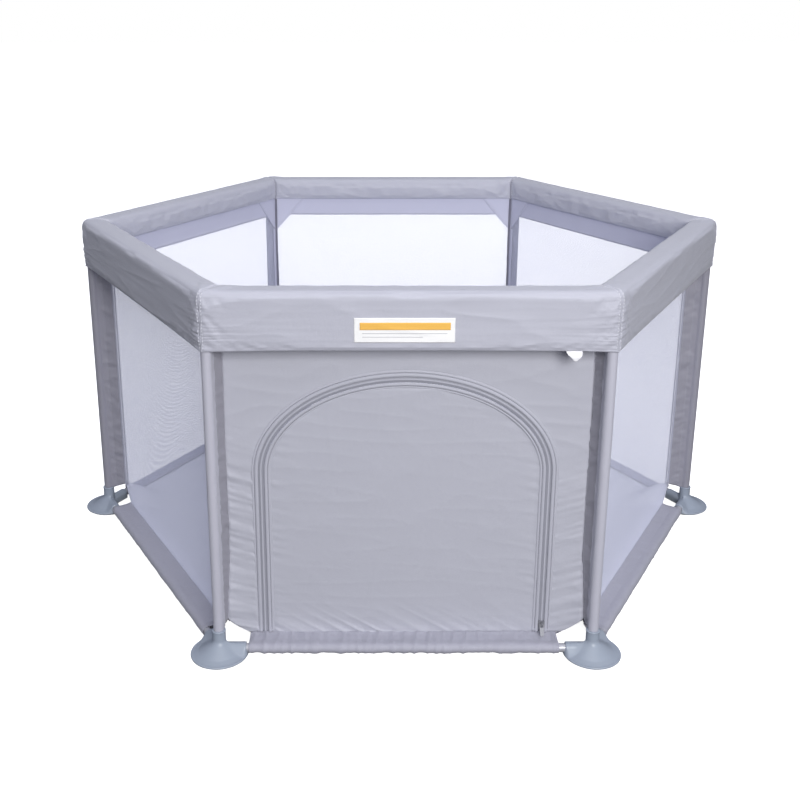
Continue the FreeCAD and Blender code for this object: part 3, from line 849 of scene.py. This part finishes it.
def door_relief(x, height, half):
    """The door's cloth: gathers leaning up from the bottom seam, long faint diagonals, a slight belly."""
    rise = height - SEAM_HEIGHT
    gathered = (1 - 0.65 * ease((x + 0.02) / 0.16)) * fade(rise, 0.019) * ease(rise / 0.004)
    beside = fade(half - abs(x - ARCH_MIDDLE), 0.020)
    out = 0.0044 * gathered * (fold((x + rise * 1.7) * 34, 1.0, 0.5) - 0.35)
    out += 0.0009 * fade(rise, 0.012) * wave((x + rise * 0.4) * 120, 2.0)
    out += 0.0003 * (fold(x * 4 + height * 2, height * 34 + x * 2, 6.0) ** 2 - 0.15)
    out += 0.0004 * (fold(x * 7 - height * 9, height * 8 + x * 6, 12.0) ** 2 - 0.15)
    out += 0.0024 * wave(x * 3.2, height * 3.2, 9.0)
    out += 0.0015 * beside * wave(height * 95 + x * 20, x * 4, 8.0)
    return out


def door_cloth():
    """The door flap: one sheet from the bottom seam up to its folded edge."""
    wide, high = ARCH_HALF - LIP_END + TUCK, ARCH_RISE - LIP_END + TUCK
    low_rows, high_rows = 120, 80
    crown = math.radians(84)

    def place(a, b):
        row = b * (low_rows + high_rows)
        if row <= low_rows:
            height, half = mix(SEAM_HEIGHT, ARCH_SPRING, (row / low_rows) ** 1.3), wide
        else:
            angle = crown * (row - low_rows) / high_rows
            height, half = ARCH_SPRING + high * math.sin(angle), wide * math.cos(angle)
        x = ARCH_MIDDLE + (2 * a - 1) * half
        edge = ease((half - abs(x - ARCH_MIDDLE)) / 0.012) * ease((ARCH_SPRING + high - height) / 0.01)
        out = BAG + door_relief(x, height, half) * edge
        return Vector((x, -out, height)), (x, height)

    return thicken(grid("door_cloth", 200, low_rows + high_rows, place), CLOTH)


def on_wall(flat, out):
    """A place that far in front of the flat front wall."""
    return Vector((flat.x, -(BAG + out), flat.y))


def zip_strip(name, profile):
    """Something sewn along the zip: profile holds (offset from the middle line, distance out) pairs."""
    rows = len(profile) - 1

    def place(a, b):
        offset, out = profile[round(b * rows)]
        return on_wall(near_zip(a, offset), out), (offset, a * ZIP_LENGTH)

    return grid(name, ZIP_COLUMNS, rows, place)


def lip_profile(side):
    """A folded cloth edge beside the teeth: stitched down in a groove, standing up as a soft ridge."""
    start = LIP_START if side > 0 else DOOR_EDGE
    fold_over = [(0.0022, 0.0010), (0.0004, 0.0011), (0.0, 0.0019), (0.0004, 0.0027)]
    ridge = [(0.25, 0.0034), (0.50, 0.0033), (0.68, 0.0024), (0.80, 0.0007), (0.88, 0.0006)]
    skirt = [(0.0, 0.0014), (0.0014, 0.0012), (0.0030, 0.0004), (0.0032, -0.0002)]
    points = [(start + offset, out) for offset, out in fold_over]
    points += [(mix(start, LIP_END, share), out) for share, out in ridge]
    points += [(LIP_END + offset, out) for offset, out in skirt]
    return [(side * offset, out) for offset, out in points]


def coil(name):
    """The zip's nylon teeth: two rows of close turns that meet along the middle line."""
    turn = 0.0018           # one turn's length along the zip
    cells = 6               # columns in a turn
    columns = round(ZIP_LENGTH / turn) * cells
    half, depth, base = 0.0016, 0.0013, 0.0010

    def place(a, b):
        across = 2 * b - 1
        phase = 2 * math.pi * a * columns / cells + (0 if across < 0 else math.pi)
        ridge = 0.62 + 0.38 * (0.5 + 0.5 * math.cos(phase))
        groove = 1 - 0.35 * bell(across, 0.16)
        out = base + depth * math.sqrt(max(0.0, 1 - across ** 2)) * ridge * groove
        return on_wall(near_zip(a, across * half), out), (across * half, a * ZIP_LENGTH)

    return grid(name, columns, 10, place)


def zip_stitching(name, offset):
    """A row of thread along the zip, from the bottom seam up and back down."""
    line = route(300, lambda share: on_wall(near_zip(share, offset), 0.0010), OUTWARD)
    line = [(place, normal) for place, normal in line if place.z > SEAM_HEIGHT + 0.004]
    return stitches(name, [line], pitch=0.0030, length=0.0027, radius=0.0005)


def front_wall():
    """Front panel, door and zip."""
    panel = finish_piece(front_panel(), "panel_fabric", replaces=["front_panel"])
    door = finish_piece(door_cloth(), "panel_fabric", replaces=["door_flap"], body=None)
    outer_lip = thicken(zip_strip("zip_lip_outer", lip_profile(1)), 0.0003, 1)
    finish_piece(outer_lip, "panel_fabric")
    lip = thicken(zip_strip("zip_lip_inner", lip_profile(-1)[::-1]), 0.0003, 1)
    finish_piece(lip, "panel_fabric", replaces=["zip_tape_inner"], body=None)
    section = [(0.010, 0.0006), (0.004, 0.0008), (0.0021, 0.0010), (0.0017, 0.0012), (0.0, 0.0012),
               (-0.0017, 0.0012), (-0.0021, 0.0010), (-0.0040, 0.0008), (0.0004 - DOOR_EDGE, 0.0008)]
    tape = thicken(zip_strip("zip_tape", section), 0.0004, 1)
    finish_piece(tape, "zip_tape", replaces=["zip_tape_outer"])
    finish_piece(coil("zip_coil"), "coil")
    # the zip's rows of thread are dark with painted groove shade
    outer_thread = zip_stitching("zip_stitching_outer", mix(LIP_START, LIP_END, LIP_SEAM))
    finish_piece(outer_thread, "thread_painted_groove_shade")
    thread = zip_stitching("zip_stitching_inner", -mix(DOOR_EDGE, LIP_END, LIP_SEAM))
    finish_piece(thread, "thread_painted_groove_shade", body=None)
    for piece in (door, lip, thread):
        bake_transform(piece)


def fin_profile():
    """Round a post and back: (radius out, sideways) pairs of a doubled band with a tube pocket."""
    inner, outer, half = -0.0015, 0.0195, 0.00055
    pocket = arc(Vector((CORNER_RADIUS - FIN_INNER, 0)), POCKET_RADIUS, 152, -152, 24)
    return even([Vector((inner, half)), Vector((outer, half)), *pocket,
                 Vector((outer, -half)), Vector((inner, -half))], FIN_STEP)


FIN_PROFILE = fin_profile()


def fin_bottom(radius):
    """The fin's lower hem, dropping from the bag's corner to the foot's socket."""
    at_bag, at_post, width = 0.0545, 0.0465, 0.026
    return mix(at_bag, at_post, min(1.0, max(0.0, radius - FIN_INNER) / width))


def fin_place(step, pull, height, profile):
    """One point of a fin, creased across its flat part, loose in its pocket."""
    seed = 2.9 * step
    pocket = CORNER_RADIUS - 0.006
    out = FIN_INNER + profile.x
    flat = ease((CORNER_RADIUS - POCKET_RADIUS - 0.004 - out) / 0.02)
    out += (bag_radius(height, pull) - FIN_INNER) * flat
    crease = 0.0013 * wave(height * 74 + out * 20, out * 22, seed)
    crease += 0.0017 * (fold(height * 58 - out * 30, out * 14, seed + 4) - 0.4)
    across = profile.y + crease * ease((pocket - out) / 0.01)
    if out > pocket:
        across *= 1 + 0.05 * wave(height * 30, 1 if profile.y > 0 else -1, seed + 8)
    return Vector((out, across, height))


def corner_fin(step, corner):
    """The doubled band that ties a bag corner to its post, with the post in its pocket."""
    rows = len(FIN_PROFILE) - 1
    pull = corner_pull(corner)

    def place(a, b):
        profile = FIN_PROFILE[round(b * rows)]
        height = mix(fin_bottom(FIN_INNER + profile.x), FIN_TOP, a)
        return fin_place(step, pull, height, profile), (b * rows * FIN_STEP, height)

    return thicken(grid(f"fin_band_{corner}", 150, rows, place), 0.0005, 1)


def fin_stitching(step, corner):
    """Thread down the pocket seam and the bag edge, and along the lower hem, on both faces."""
    pull = corner_pull(corner)
    routes = []
    for side in (1, -1):
        across = side * 0.0012
        normal = Vector((0, side, 0))
        for inward in (0.004, 0.0185, 0.0205):
            low = fin_bottom(FIN_INNER + inward) + 0.003
            routes.append(route(119, lambda share: fin_place(
                step, pull, mix(low, FIN_TOP, share), Vector((inward, across))), normal))
        for rise in (0.0035, 0.0075):
            def along_hem(share):
                profile = Vector((mix(0.001, 0.024, share), across))
                return fin_place(step, pull, fin_bottom(FIN_INNER + profile.x) + rise, profile)
            routes.append(route(15, along_hem, normal))
    return stitches(f"fin_stitching_{corner}", routes)


def corner_binding(step, corner):
    """The bound seam inside a bag corner, a narrow tape folded over the edges of net and fin."""
    seed = 1.7 * step
    half, thick = 0.0026, 0.0012
    pull = corner_pull(corner)

    def place(a, b):
        height = mix(CORNER_LIFT - 0.004, INNER_HEM - 0.001, a)
        angle = 2 * math.pi * b
        drift = 0.0009 * wave(height * 9, 1.0, seed)
        radius = bag_radius(height, pull) - 0.0046
        across = half * math.cos(angle) * (1 + 0.15 * wave(height * 60, 0, seed))
        return Vector((radius + thick * math.sin(angle), across + drift, height)), (b * 0.012, height)

    return grid(f"corner_binding_{corner}", 120, 12, place, closed=True, capped=True)


def corner_tape(step, side):
    """A light tape beside the seam inside one of a side's bag corners."""
    seed = 2.3 * step
    end = 1 if side in ("front_left", "back_right") else -1
    pull = side_pull(side, end)

    def place(a, b):
        height = mix(CORNER_LIFT, INNER_HEM - 0.078, a)
        reach = mix(0.0016, 0.0130, b)
        x = end * (wall_half(height, pull) - reach)
        out = wall(x, height, pull=pull) - 0.0030 + 0.0003 * wave(height * 40, b, seed)
        return Vector((x, -out, height)), (reach, height)

    return thicken(grid(f"corner_tape_{side}", 110, 6, place), 0.0004)


def sleeve_outline():
    """A hem sleeve's section, (apothem, height): down round its rail and back under to the bag's seam."""
    outer, inner = (Vector((BAG - 0.0006, SEAM_HEIGHT + side * 0.0012)) for side in (1, -1))
    round_rail = arc(Vector((RAIL_OUT, RAIL_HEIGHT)), SLEEVE_RADIUS, 96, -132, 18)
    return even([outer, *round_rail, Vector((BAG + 0.006, 0.0115)), inner], SLEEVE_STEP)


def hem_sleeve(step, side):
    """The gathered sleeve from the bag's bottom seam over a bottom rail and back under it."""
    gathered = 0.0033 if side == "front" else 0.0010
    seed = 7.7 * step
    outline = sleeve_outline()
    rows = len(outline) - 1

    def place(a, b):
        index = round(b * rows)
        flat = outline[index]
        along = outline[min(index + 1, rows)] - outline[max(index - 1, 0)]
        normal = Vector((-along.y, along.x)).normalized()
        x = mix(-SLEEVE_HALF, SLEEVE_HALF, a) + SLEEVE_SHIFT
        from_seam = SLEEVE_STEP * min(index, rows - index)
        taper = ease((SLEEVE_HALF - abs(x - SLEEVE_SHIFT)) / 0.012)
        pleat = fold(x * 46 + from_seam * 4, from_seam * 7, seed) - 0.35
        pleat += 0.35 * wave(x * 130, from_seam * 9, seed + 3)
        push = gathered * pleat * (0.7 + 0.3 * fade(from_seam, 0.020)) * ease(from_seam / 0.002) * taper
        push += 0.0005 * wave(x * 24, from_seam * 40, seed + 6)
        height = flat.y + normal.y * push
        if index < rows / 2:
            slack = ease(from_seam / 0.01) * ease((0.031 - from_seam) / 0.01)
            height -= 0.0012 * slack * (1 - 0.4 * wave(x * 9, 0, seed))
        return (Vector((x, -(flat.x + normal.x * push), max(height, SLEEVE_LOW))),
                (x * 1.12, SLEEVE_STEP * index))

    return thicken(grid(f"hem_sleeve_{side}", 260, rows, place), 0.0007)


def hem_stitching(side):
    """Thread across both ends of a sleeve, from the bag's seam and round the rail."""
    routes = []
    for end in (-1, 1):
        for inset in (0.004, 0.008):
            x = end * (SLEEVE_HALF - inset) + SLEEVE_SHIFT
            line = route(8, lambda share: Vector((x, -mix(BAG + 0.003, RAIL_OUT - 0.004, share), 0.0226)),
                         Vector((0, 0, 1)))
            for turn in arc(Vector((0, 0)), 1, 90, -40, 9):
                normal = Vector((0, -turn.x, turn.y))
                line.append((Vector((x, -RAIL_OUT, RAIL_HEIGHT)) + normal * (SLEEVE_RADIUS + 0.0008), normal))
            routes.append(line)
    return stitches(f"hem_stitching_{side}", routes)


def bottom_binding(step, side):
    """The turned-under edge below a side's lower seam, deepest where the corners are pulled up."""
    seed = 6.1 * step
    inset, half = 0.0048, 0.0018        # behind the wall, and its own half thickness

    def place(a, b):
        x = (2 * a - 1) * (BAG_HALF + 0.004)
        angle = 2 * math.pi * b
        lifted = ease((abs(x) - CORNER_RUN) / 0.02)
        deep = mix(0.0018, 0.0048, lifted) * (1 + 0.2 * wave(x * 40, 0, seed))
        height = seam_height(x) - deep
        out = wall(x, height, pull=side_pull(side, x)) - inset + half * math.cos(angle)
        return Vector((x, -out, height + deep * 0.9 * math.sin(angle))), (x, b * 0.013)

    return grid(f"bottom_binding_{side}", 180, 10, place, closed=True, capped=True)


def floor_cloth():
    """The floor: flat in the middle, rising to the bottom seams, highest in the corners, softly creased."""
    spokes, rings = 300, 60

    def place(a, b):
        angle = 2 * math.pi * a
        sector = math.radians(math.degrees(angle) % 60 - 30)
        edge = BAG / math.cos(sector)
        share = b ** 0.8
        lift = ease((share - 0.80) / 0.20) ** 1.3
        height = mix(0.0022, seam_height(edge * math.sin(sector)) - 0.0004, lift)
        direction = Vector((math.cos(angle), math.sin(angle)))
        spot = direction * (edge * share)
        crease = fold(spot.x * 7, spot.y * 7, 2.0) + 0.5 * fold(spot.x * 16, spot.y * 16, 5.0)
        height += 0.0022 * crease * (0.35 + 0.65 * share) * ease((1 - share) / 0.04)
        gather = abs(wave(direction.x * 30, direction.y * 30, 3))
        height += 0.0012 * gather * ease((share - 0.8) / 0.1) * ease((1 - share) / 0.05)
        return Vector((*spot, height)), tuple(spot)

    return thicken(weld(grid("floor_cloth", spokes, rings, place), outward=False), CLOTH)


def top_band(step, side):
    """The woven band behind the net's upper edge."""
    bottom = BAND_LOW.z + 0.002
    seed = 4.4 * step

    def place(a, b):
        share = 2 * a - 1
        height = mix(bottom, INNER_HEM + 0.003, b)
        x = share * (BAG_HALF - 0.0015)
        out = BAG - 0.0012 + 0.0005 * wave(x * 22, b, seed)
        return Vector((x, -out, height + 0.0006 * wave(x * 12, 2, seed) * (1 - b))), (x, height)

    return thicken(grid(f"top_band_{side}", 120, 12, place), CLOTH)


def gusset(step, side, end):
    """A triangular patch that strengthens the bag's upper corner."""
    wide, deep = 0.072, 0.082

    def place(a, b):
        # a runs down the corner, b from the corner to the slanting edge
        height = INNER_HEM + 0.002 - deep * a
        reach = wide * (1 - a) ** 0.92 + 0.001
        x = end * (BAG_HALF - 0.0012 - reach * b)
        out = BAG - 0.0024 - 0.0005 * math.sin(math.pi * b) + 0.0004 * wave(x * 30, height * 30, step)
        return Vector((x, -out, height)), (x, height)

    name = f"gusset_{side}_{'right' if end > 0 else 'left'}"
    return thicken(grid(name, 40, 30, place), CLOTH)


def band_stitching(side):
    """Thread along the band's lower edge and both patches' slanting edges, inside the bag."""
    inward = -OUTWARD
    low = BAND_LOW.z + 0.005
    routes = [route(58, lambda share: Vector((mix(-0.29, 0.29, share), 0.0018 - BAG, low)), inward)]
    for end in (-1, 1):
        routes.append(route(19, lambda share: Vector((end * (BAG_HALF - mix(0.069, 0.0063, share)),
                                                      0.0031 - BAG, INNER_HEM - 0.07125 * share)), inward))
    return stitches(f"band_stitching_{side}", routes)


def bag():
    """Everything sewn into the bag."""
    for step, side in enumerate(SIDES):
        if side != "front":
            sheet = finish_piece(net(step, side), "mesh", step, replaces=[f"mesh_{side}"])
        sleeve = finish_piece(hem_sleeve(step, side), "hem_fabric", step, replaces=["hem_sleeves"])
        finish_piece(hem_stitching(side), "thread", step)
        # the turned-under edge is dark with painted shade
        finish_piece(bottom_binding(step, side), "binding_painted_shade", step)
        finish_piece(top_band(step, side), "band_fabric", step, replaces=["top_bands"])
        for end in (-1, 1):
            finish_piece(gusset(step, side, end), "band_fabric", step)
        finish_piece(band_stitching(side), "thread", step)
        if side not in ("front", "back"):
            finish_piece(corner_tape(step, side), "band_fabric", step)
    for step, corner in enumerate(CORNERS):
        fin = finish_piece(corner_fin(step, corner), "fin_fabric", step, replaces=[f"corner_fin_{corner}"])
        # at the front corners the pocket takes the lighter copy: painted light on the pocket, painted shade
        # on the flat web
        if corner.startswith("front"):
            fin.data.materials.append(MATERIALS["pocket_fabric_painted_light"])
            for face in fin.data.polygons:
                face.material_index = int(face.center.x > FIN_INNER + POCKET_START)
        finish_piece(fin_stitching(step, corner), "thread", step)
        # the corner seam's tape is dark with painted shade
        finish_piece(corner_binding(step, corner), "binding_painted_shade", step)
    floor = finish_piece(floor_cloth(), "floor_fabric", replaces=["floor_sheet"])


# ---------------------------------------------------------------- feet

def lathe(name, profile_at, start, end, steps):
    """A closed solid: profile_at(degrees) gives (radius, height) pairs, turned from start to end degrees."""
    points, faces = [], []
    full = end - start >= 360
    turns = steps if full else steps + 1
    for turn in range(turns):
        degrees = mix(start, end, turn / steps)
        angle = math.radians(degrees)
        profile = profile_at(degrees)
        points += [(r * math.cos(angle), r * math.sin(angle), z) for r, z in profile]
    count = len(profile)
    for turn in range(steps):
        this, following = turn * count, (turn + 1) % turns * count
        for index in range(count):
            after = (index + 1) % count
            faces.append((this + index, following + index, following + after, this + after))
    if not full:
        faces.append(tuple(range(count)))
        faces.append(tuple(reversed(range((turns - 1) * count, turns * count))))
    return build(name, points, faces)


def prism(name, outline, length, angle):
    """An outline of (sideways, height) pairs run out level at an angle from +X."""
    ahead = Vector((math.cos(angle), math.sin(angle), 0))
    aside = Vector((-math.sin(angle), math.cos(angle), 0))
    count = len(outline)
    points = [ahead * reach + aside * t + Vector((0, 0, z)) for reach in (0, length) for t, z in outline]
    faces = [(i, (i + 1) % count, count + (i + 1) % count, count + i) for i in range(count)]
    faces += [tuple(reversed(range(count))), tuple(range(count, 2 * count))]
    return build(name, points, faces)


def foot_profile(degrees, rim):
    """The foot's section at an angle: a cone up to the socket, swollen where a hood runs over a rail."""
    inner, top = 0.001, 0.029
    cone = [(rim - 0.0008, 0.0058), (rim - 0.0024, 0.0060), (rim - 0.0040, 0.0054), (rim - 0.0062, 0.0062),
            (0.036, 0.0086), (0.0325, 0.0108), (0.029, 0.0130), (0.0255, 0.0154), (0.022, 0.0178),
            (0.0185, 0.0202), (0.0155, 0.0225), (0.0130, 0.0255), (SOCKET_RADIUS, top), (inner, top)]
    blend = 7               # the higher, the tighter the corner between cone and hood
    away = math.radians(min(90, FOOT_SPREAD - abs(degrees)))
    points = [(inner, FOOT_PAD), (rim - 0.0006, FOOT_PAD), (rim, FOOT_PAD + 0.001), (rim, 0.0046)]
    for radius, height in cone:
        over_rail = bell(radius * math.sin(away), 0.0175)
        swell = (RAIL_HEIGHT + HOOD_RADIUS) * over_rail * ease((rim - radius) / 0.006 + 0.15) ** 0.4
        points.append((radius, (height ** blend + swell ** blend) ** (1 / blend)))
    return points


def foot_bodies():
    """A foot's overlapping solids at the origin: flared skirt, post's socket and two hoods over rails."""
    height = FOOT_HIGH.z
    rim = FOOT_HIGH.x - CORNER_RADIUS
    ring = SOCKET_RADIUS + 0.0007
    socket = [(AXIS, FOOT_PAD), (SOCKET_RADIUS, FOOT_PAD), (SOCKET_RADIUS, height - 0.0022),
              (ring, height - 0.0018), (ring, height - 0.0004), (SOCKET_RADIUS, height), (AXIS, height)]
    hood = [(-HOOD_RADIUS, FOOT_PAD), *arc(Vector((0, RAIL_HEIGHT)), HOOD_RADIUS, 180, 0, 12),
            (HOOD_RADIUS, FOOT_PAD)]
    return [lathe("foot", lambda degrees: foot_profile(degrees, rim), -FOOT_SPREAD, FOOT_SPREAD, 96),
            lathe("foot_post", lambda degrees: socket, 0, 360, 48),
            *(prism("foot_hood", hood, HOOD_REACH, angle) for angle in RAIL_ANGLES)]


def foot_bores():
    """The solids that are cut from a foot: two rails and a post, with a little room round them."""
    bore = TUBE_RADIUS + 0.0007
    start = 0.018           # a rail's end from the middle of the foot
    bores = []
    for angle in RAIL_ANGLES:
        rail = prism("rail_bore", arc(Vector((0, RAIL_HEIGHT)), bore, 0, 360, 32)[:-1], 0.06, angle)
        rail.location = (start * math.cos(angle), start * math.sin(angle), 0)
        bores.append(rail)
    low, high = 0.026, 0.06     # the post's bore
    post = [(AXIS, low), (bore, low), (bore, high), (AXIS, high)]
    return bores + [lathe("post_bore", lambda degrees: post, 0, 360, 32)]


def foot_mesh():
    """The moulded foot at the origin, made one, smoothed and bored out."""
    solid = weld(*foot_bodies())
    remesh = solid.modifiers.new("one_moulding", "REMESH")
    remesh.mode = "VOXEL"
    remesh.voxel_size = 0.0009
    smooth = solid.modifiers.new("mould_radii", "SMOOTH")
    smooth.iterations = 8
    smooth.factor = 0.5
    cutters = [weld(bore) for bore in foot_bores()]
    for cutter in cutters:
        cut = solid.modifiers.new("bore", "BOOLEAN")
        cut.operation = "DIFFERENCE"
        cut.object = cutter
        cut.solver = "FAST"
    mesh = settle(solid).data
    mesh.polygons.foreach_set("use_smooth", [True] * len(mesh.polygons))
    mesh.set_sharp_from_angle(angle=math.radians(50))
    for made in (solid, *cutters):
        bpy.data.objects.remove(made)
    return mesh


def feet():
    """Six moulded feet."""
    mesh = foot_mesh()
    for step, corner in enumerate(CORNERS):
        foot = add_object(f"moulded_foot_{corner}", mesh)
        angle = math.radians(60 * step)
        foot.location = (CORNER_RADIUS * math.cos(angle), CORNER_RADIUS * math.sin(angle), 0)
        finish_piece(foot, "foot_plastic", step, replaces=[f"foot_{corner}"])


# ---------------------------------------------------------------- label and tag

def label(tree):
    """A plain white sewn patch with a blank amber bar and two faint rules, laid on the front cover."""
    def on_cover(x, height, lift):
        hit = tree.ray_cast(Vector((x, -COVER_OUT - 0.03, height)), -OUTWARD, 0.06)[0]
        return Vector((x, (-COVER_OUT if hit is None else hit.y) - lift, height))

    def patch(name, low, high, lift, columns, rows):
        def place(a, b):
            x, height = mix(low[0], high[0], a), mix(low[1], high[1], b)
            return on_cover(x, height, lift), (x, height)
        return thicken(grid(name, columns, rows, place), 0.0003, 1)

    left, low, right, high = LABEL_LOW.x, LABEL_LOW.z, LABEL_HIGH.x, LABEL_HIGH.z
    cloth = patch("label_patch_cloth", (left, low), (right, high), 0.0004, 80, 24)
    finish_piece(cloth, "label", replaces=["label_patch"])
    bar = patch("label_bar", (left + 0.009, high - 0.0195), (right - 0.007, high - 0.0075), 0.0007, 70, 8)
    finish_piece(bar, "label_bar")
    for number, (rise, short) in enumerate(((0.0145, 0.012), (0.0085, 0.050))):
        rule = (left + 0.013, low + rise), (right - short, low + rise + 0.0011)
        finish_piece(patch(f"label_rule_{number}", *rule, 0.0007, 60, 2), "label_rule")
    edge = 0.0016
    left, low, right, high = left + edge, low + edge, right - edge, high - edge
    corners = [Vector(corner) for corner in ((left, low), (right, low), (right, high), (left, high))]
    line = []
    for start, end in zip(corners, corners[1:] + corners[:1]):
        line += route(30, lambda share: on_cover(*start.lerp(end, share), 0.0007), OUTWARD)[:-1]
    finish_piece(stitches("label_stitching", [line], pitch=0.0026, length=0.0018, radius=0.0002),
                 "tag")


def care_tag():
    """A small folded satin tag under the cover's hem, curling forward."""
    middle = (TAG_LOW.x + TAG_HIGH.x) / 2
    top, deep = COVER_HEM + 0.006, 0.0200

    def place(a, b):
        left = middle - 0.0145 + 0.0090 * b ** 1.8
        right = middle + 0.0085 + 0.0030 * math.sin(math.pi * b ** 0.8) - 0.0030 * b ** 4
        drop = deep * b * (1 - 0.26 * (2 * a - 1.15) ** 2 * b)
        out = COVER_OUT - 0.0025 + 0.0015 * b + 0.0035 * math.sin(2.4 * b) * (0.6 + 0.4 * a)
        out += 0.0006 * wave(a * 3, b * 3, 2)
        return Vector((mix(left, right, a), -out, top - drop)), (a * 0.025, drop)

    tag = thicken(grid("care_tag_satin", 24, 20, place), 0.0004)
    finish_piece(tag, "tag", replaces=["care_tag"])


# ---------------------------------------------------------------- carried-over nodes

def dress_frame():
    """Materials for the CAD nodes that stay in sight."""
    prefixes = {"post": "tube", "bottom_rail": "tube", "top_rail": "tube", "foot_pads": "pad_rubber",
                "top_connector": "connector_plastic", "zip_slider": "zip_metal", "zip_pull": "zip_metal"}
    for name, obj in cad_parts.items():
        for prefix, material in prefixes.items():
            if name.startswith(prefix):
                obj.data.materials.clear()
                obj.data.materials.append(MATERIALS[material])
    for name in ("zip_slider", "zip_pull"):
        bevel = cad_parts[name].modifiers.new("cast_edges", "BEVEL")
        bevel.width = 0.00045
        bevel.segments = 2
        bevel.limit_method = "ANGLE"


# ---------------------------------------------------------------- studio

def softbox(name, size, power, reach, aside, raised):
    """A square lamp aimed at the object: degrees aside to the right of the front, and raised."""
    lamp = bpy.data.lights.new(name, "AREA")
    lamp.size = size
    lamp.energy = power
    lamp.color = (1.0, 0.99, 0.975)
    holder = add_object(name, lamp)
    aside, raised = math.radians(aside), math.radians(raised)
    level = math.cos(raised)
    towards = Vector((math.sin(aside) * level, -math.cos(aside) * level, math.sin(raised)))
    aim = Vector((0, -0.45, 0.45))
    holder.location = aim + towards * reach
    holder.rotation_euler = towards.to_track_quat("Z", "Y").to_euler()


def ground():
    """A pale floor that the camera sees as white."""
    bpy.ops.mesh.primitive_plane_add(size=60, location=(0, 0, -0.0004))
    plane = bpy.context.object
    plane.name = "studio_floor"
    material, tree, surface = blank("studio_floor", 0.9)
    seen = add(tree, "LightPath", output="Is Camera Ray")
    feed(surface, {
        "Base Color": shades(tree, seen, (0.09, 0.09, 0.095, 1), (0.93, 0.93, 0.935, 1)),
        "Emission Color": (1, 1, 1, 1), "Emission Strength": times(tree, seen, 0.94),
        "Specular IOR Level": 0.1})
    plane.data.materials.append(material)


def surround():
    """Cool light from all round, seen as white."""
    world = bpy.data.worlds.new("studio")
    bpy.context.scene.world = world
    world.use_nodes = True
    tree = world.node_tree
    around = tree.nodes["Background"]
    feed(around, {"Color": (0.80, 0.84, 1.0, 1), "Strength": 0.38})
    seen = add(tree, "LightPath", output="Is Camera Ray")
    backdrop = add(tree, "Background", {"Color": (1, 1, 1, 1), "Strength": 1.0})
    both = add(tree, "MixShader", {0: seen, 1: around.outputs[0], 2: backdrop})
    feed(tree.nodes["World Output"], {"Surface": both})


def studio():
    """The ground, the surround, two soft lights and the camera."""
    ground()
    surround()
    softbox("key", size=1.5, power=92, reach=3.3, aside=13, raised=24)
    softbox("overhead", size=3.0, power=46, reach=3.6, aside=0, raised=88)

    camera = bpy.data.cameras.new("camera")
    camera.lens = 46.82
    camera.sensor_width = 36
    camera.shift_x = 0.0416
    camera.shift_y = -0.1057
    viewer = add_object("camera", camera)
    viewer.location = (-0.0671, -2.1069, 1.0697)
    viewer.rotation_euler = (math.radians(73.44), 0, 0)
    bpy.context.scene.camera = viewer
    bpy.context.scene.view_settings.view_transform = "Standard"


front_cover = rail_covers()
front_wall()
bag()
feet()
label(front_cover)
care_tag()
dress_frame()
studio()
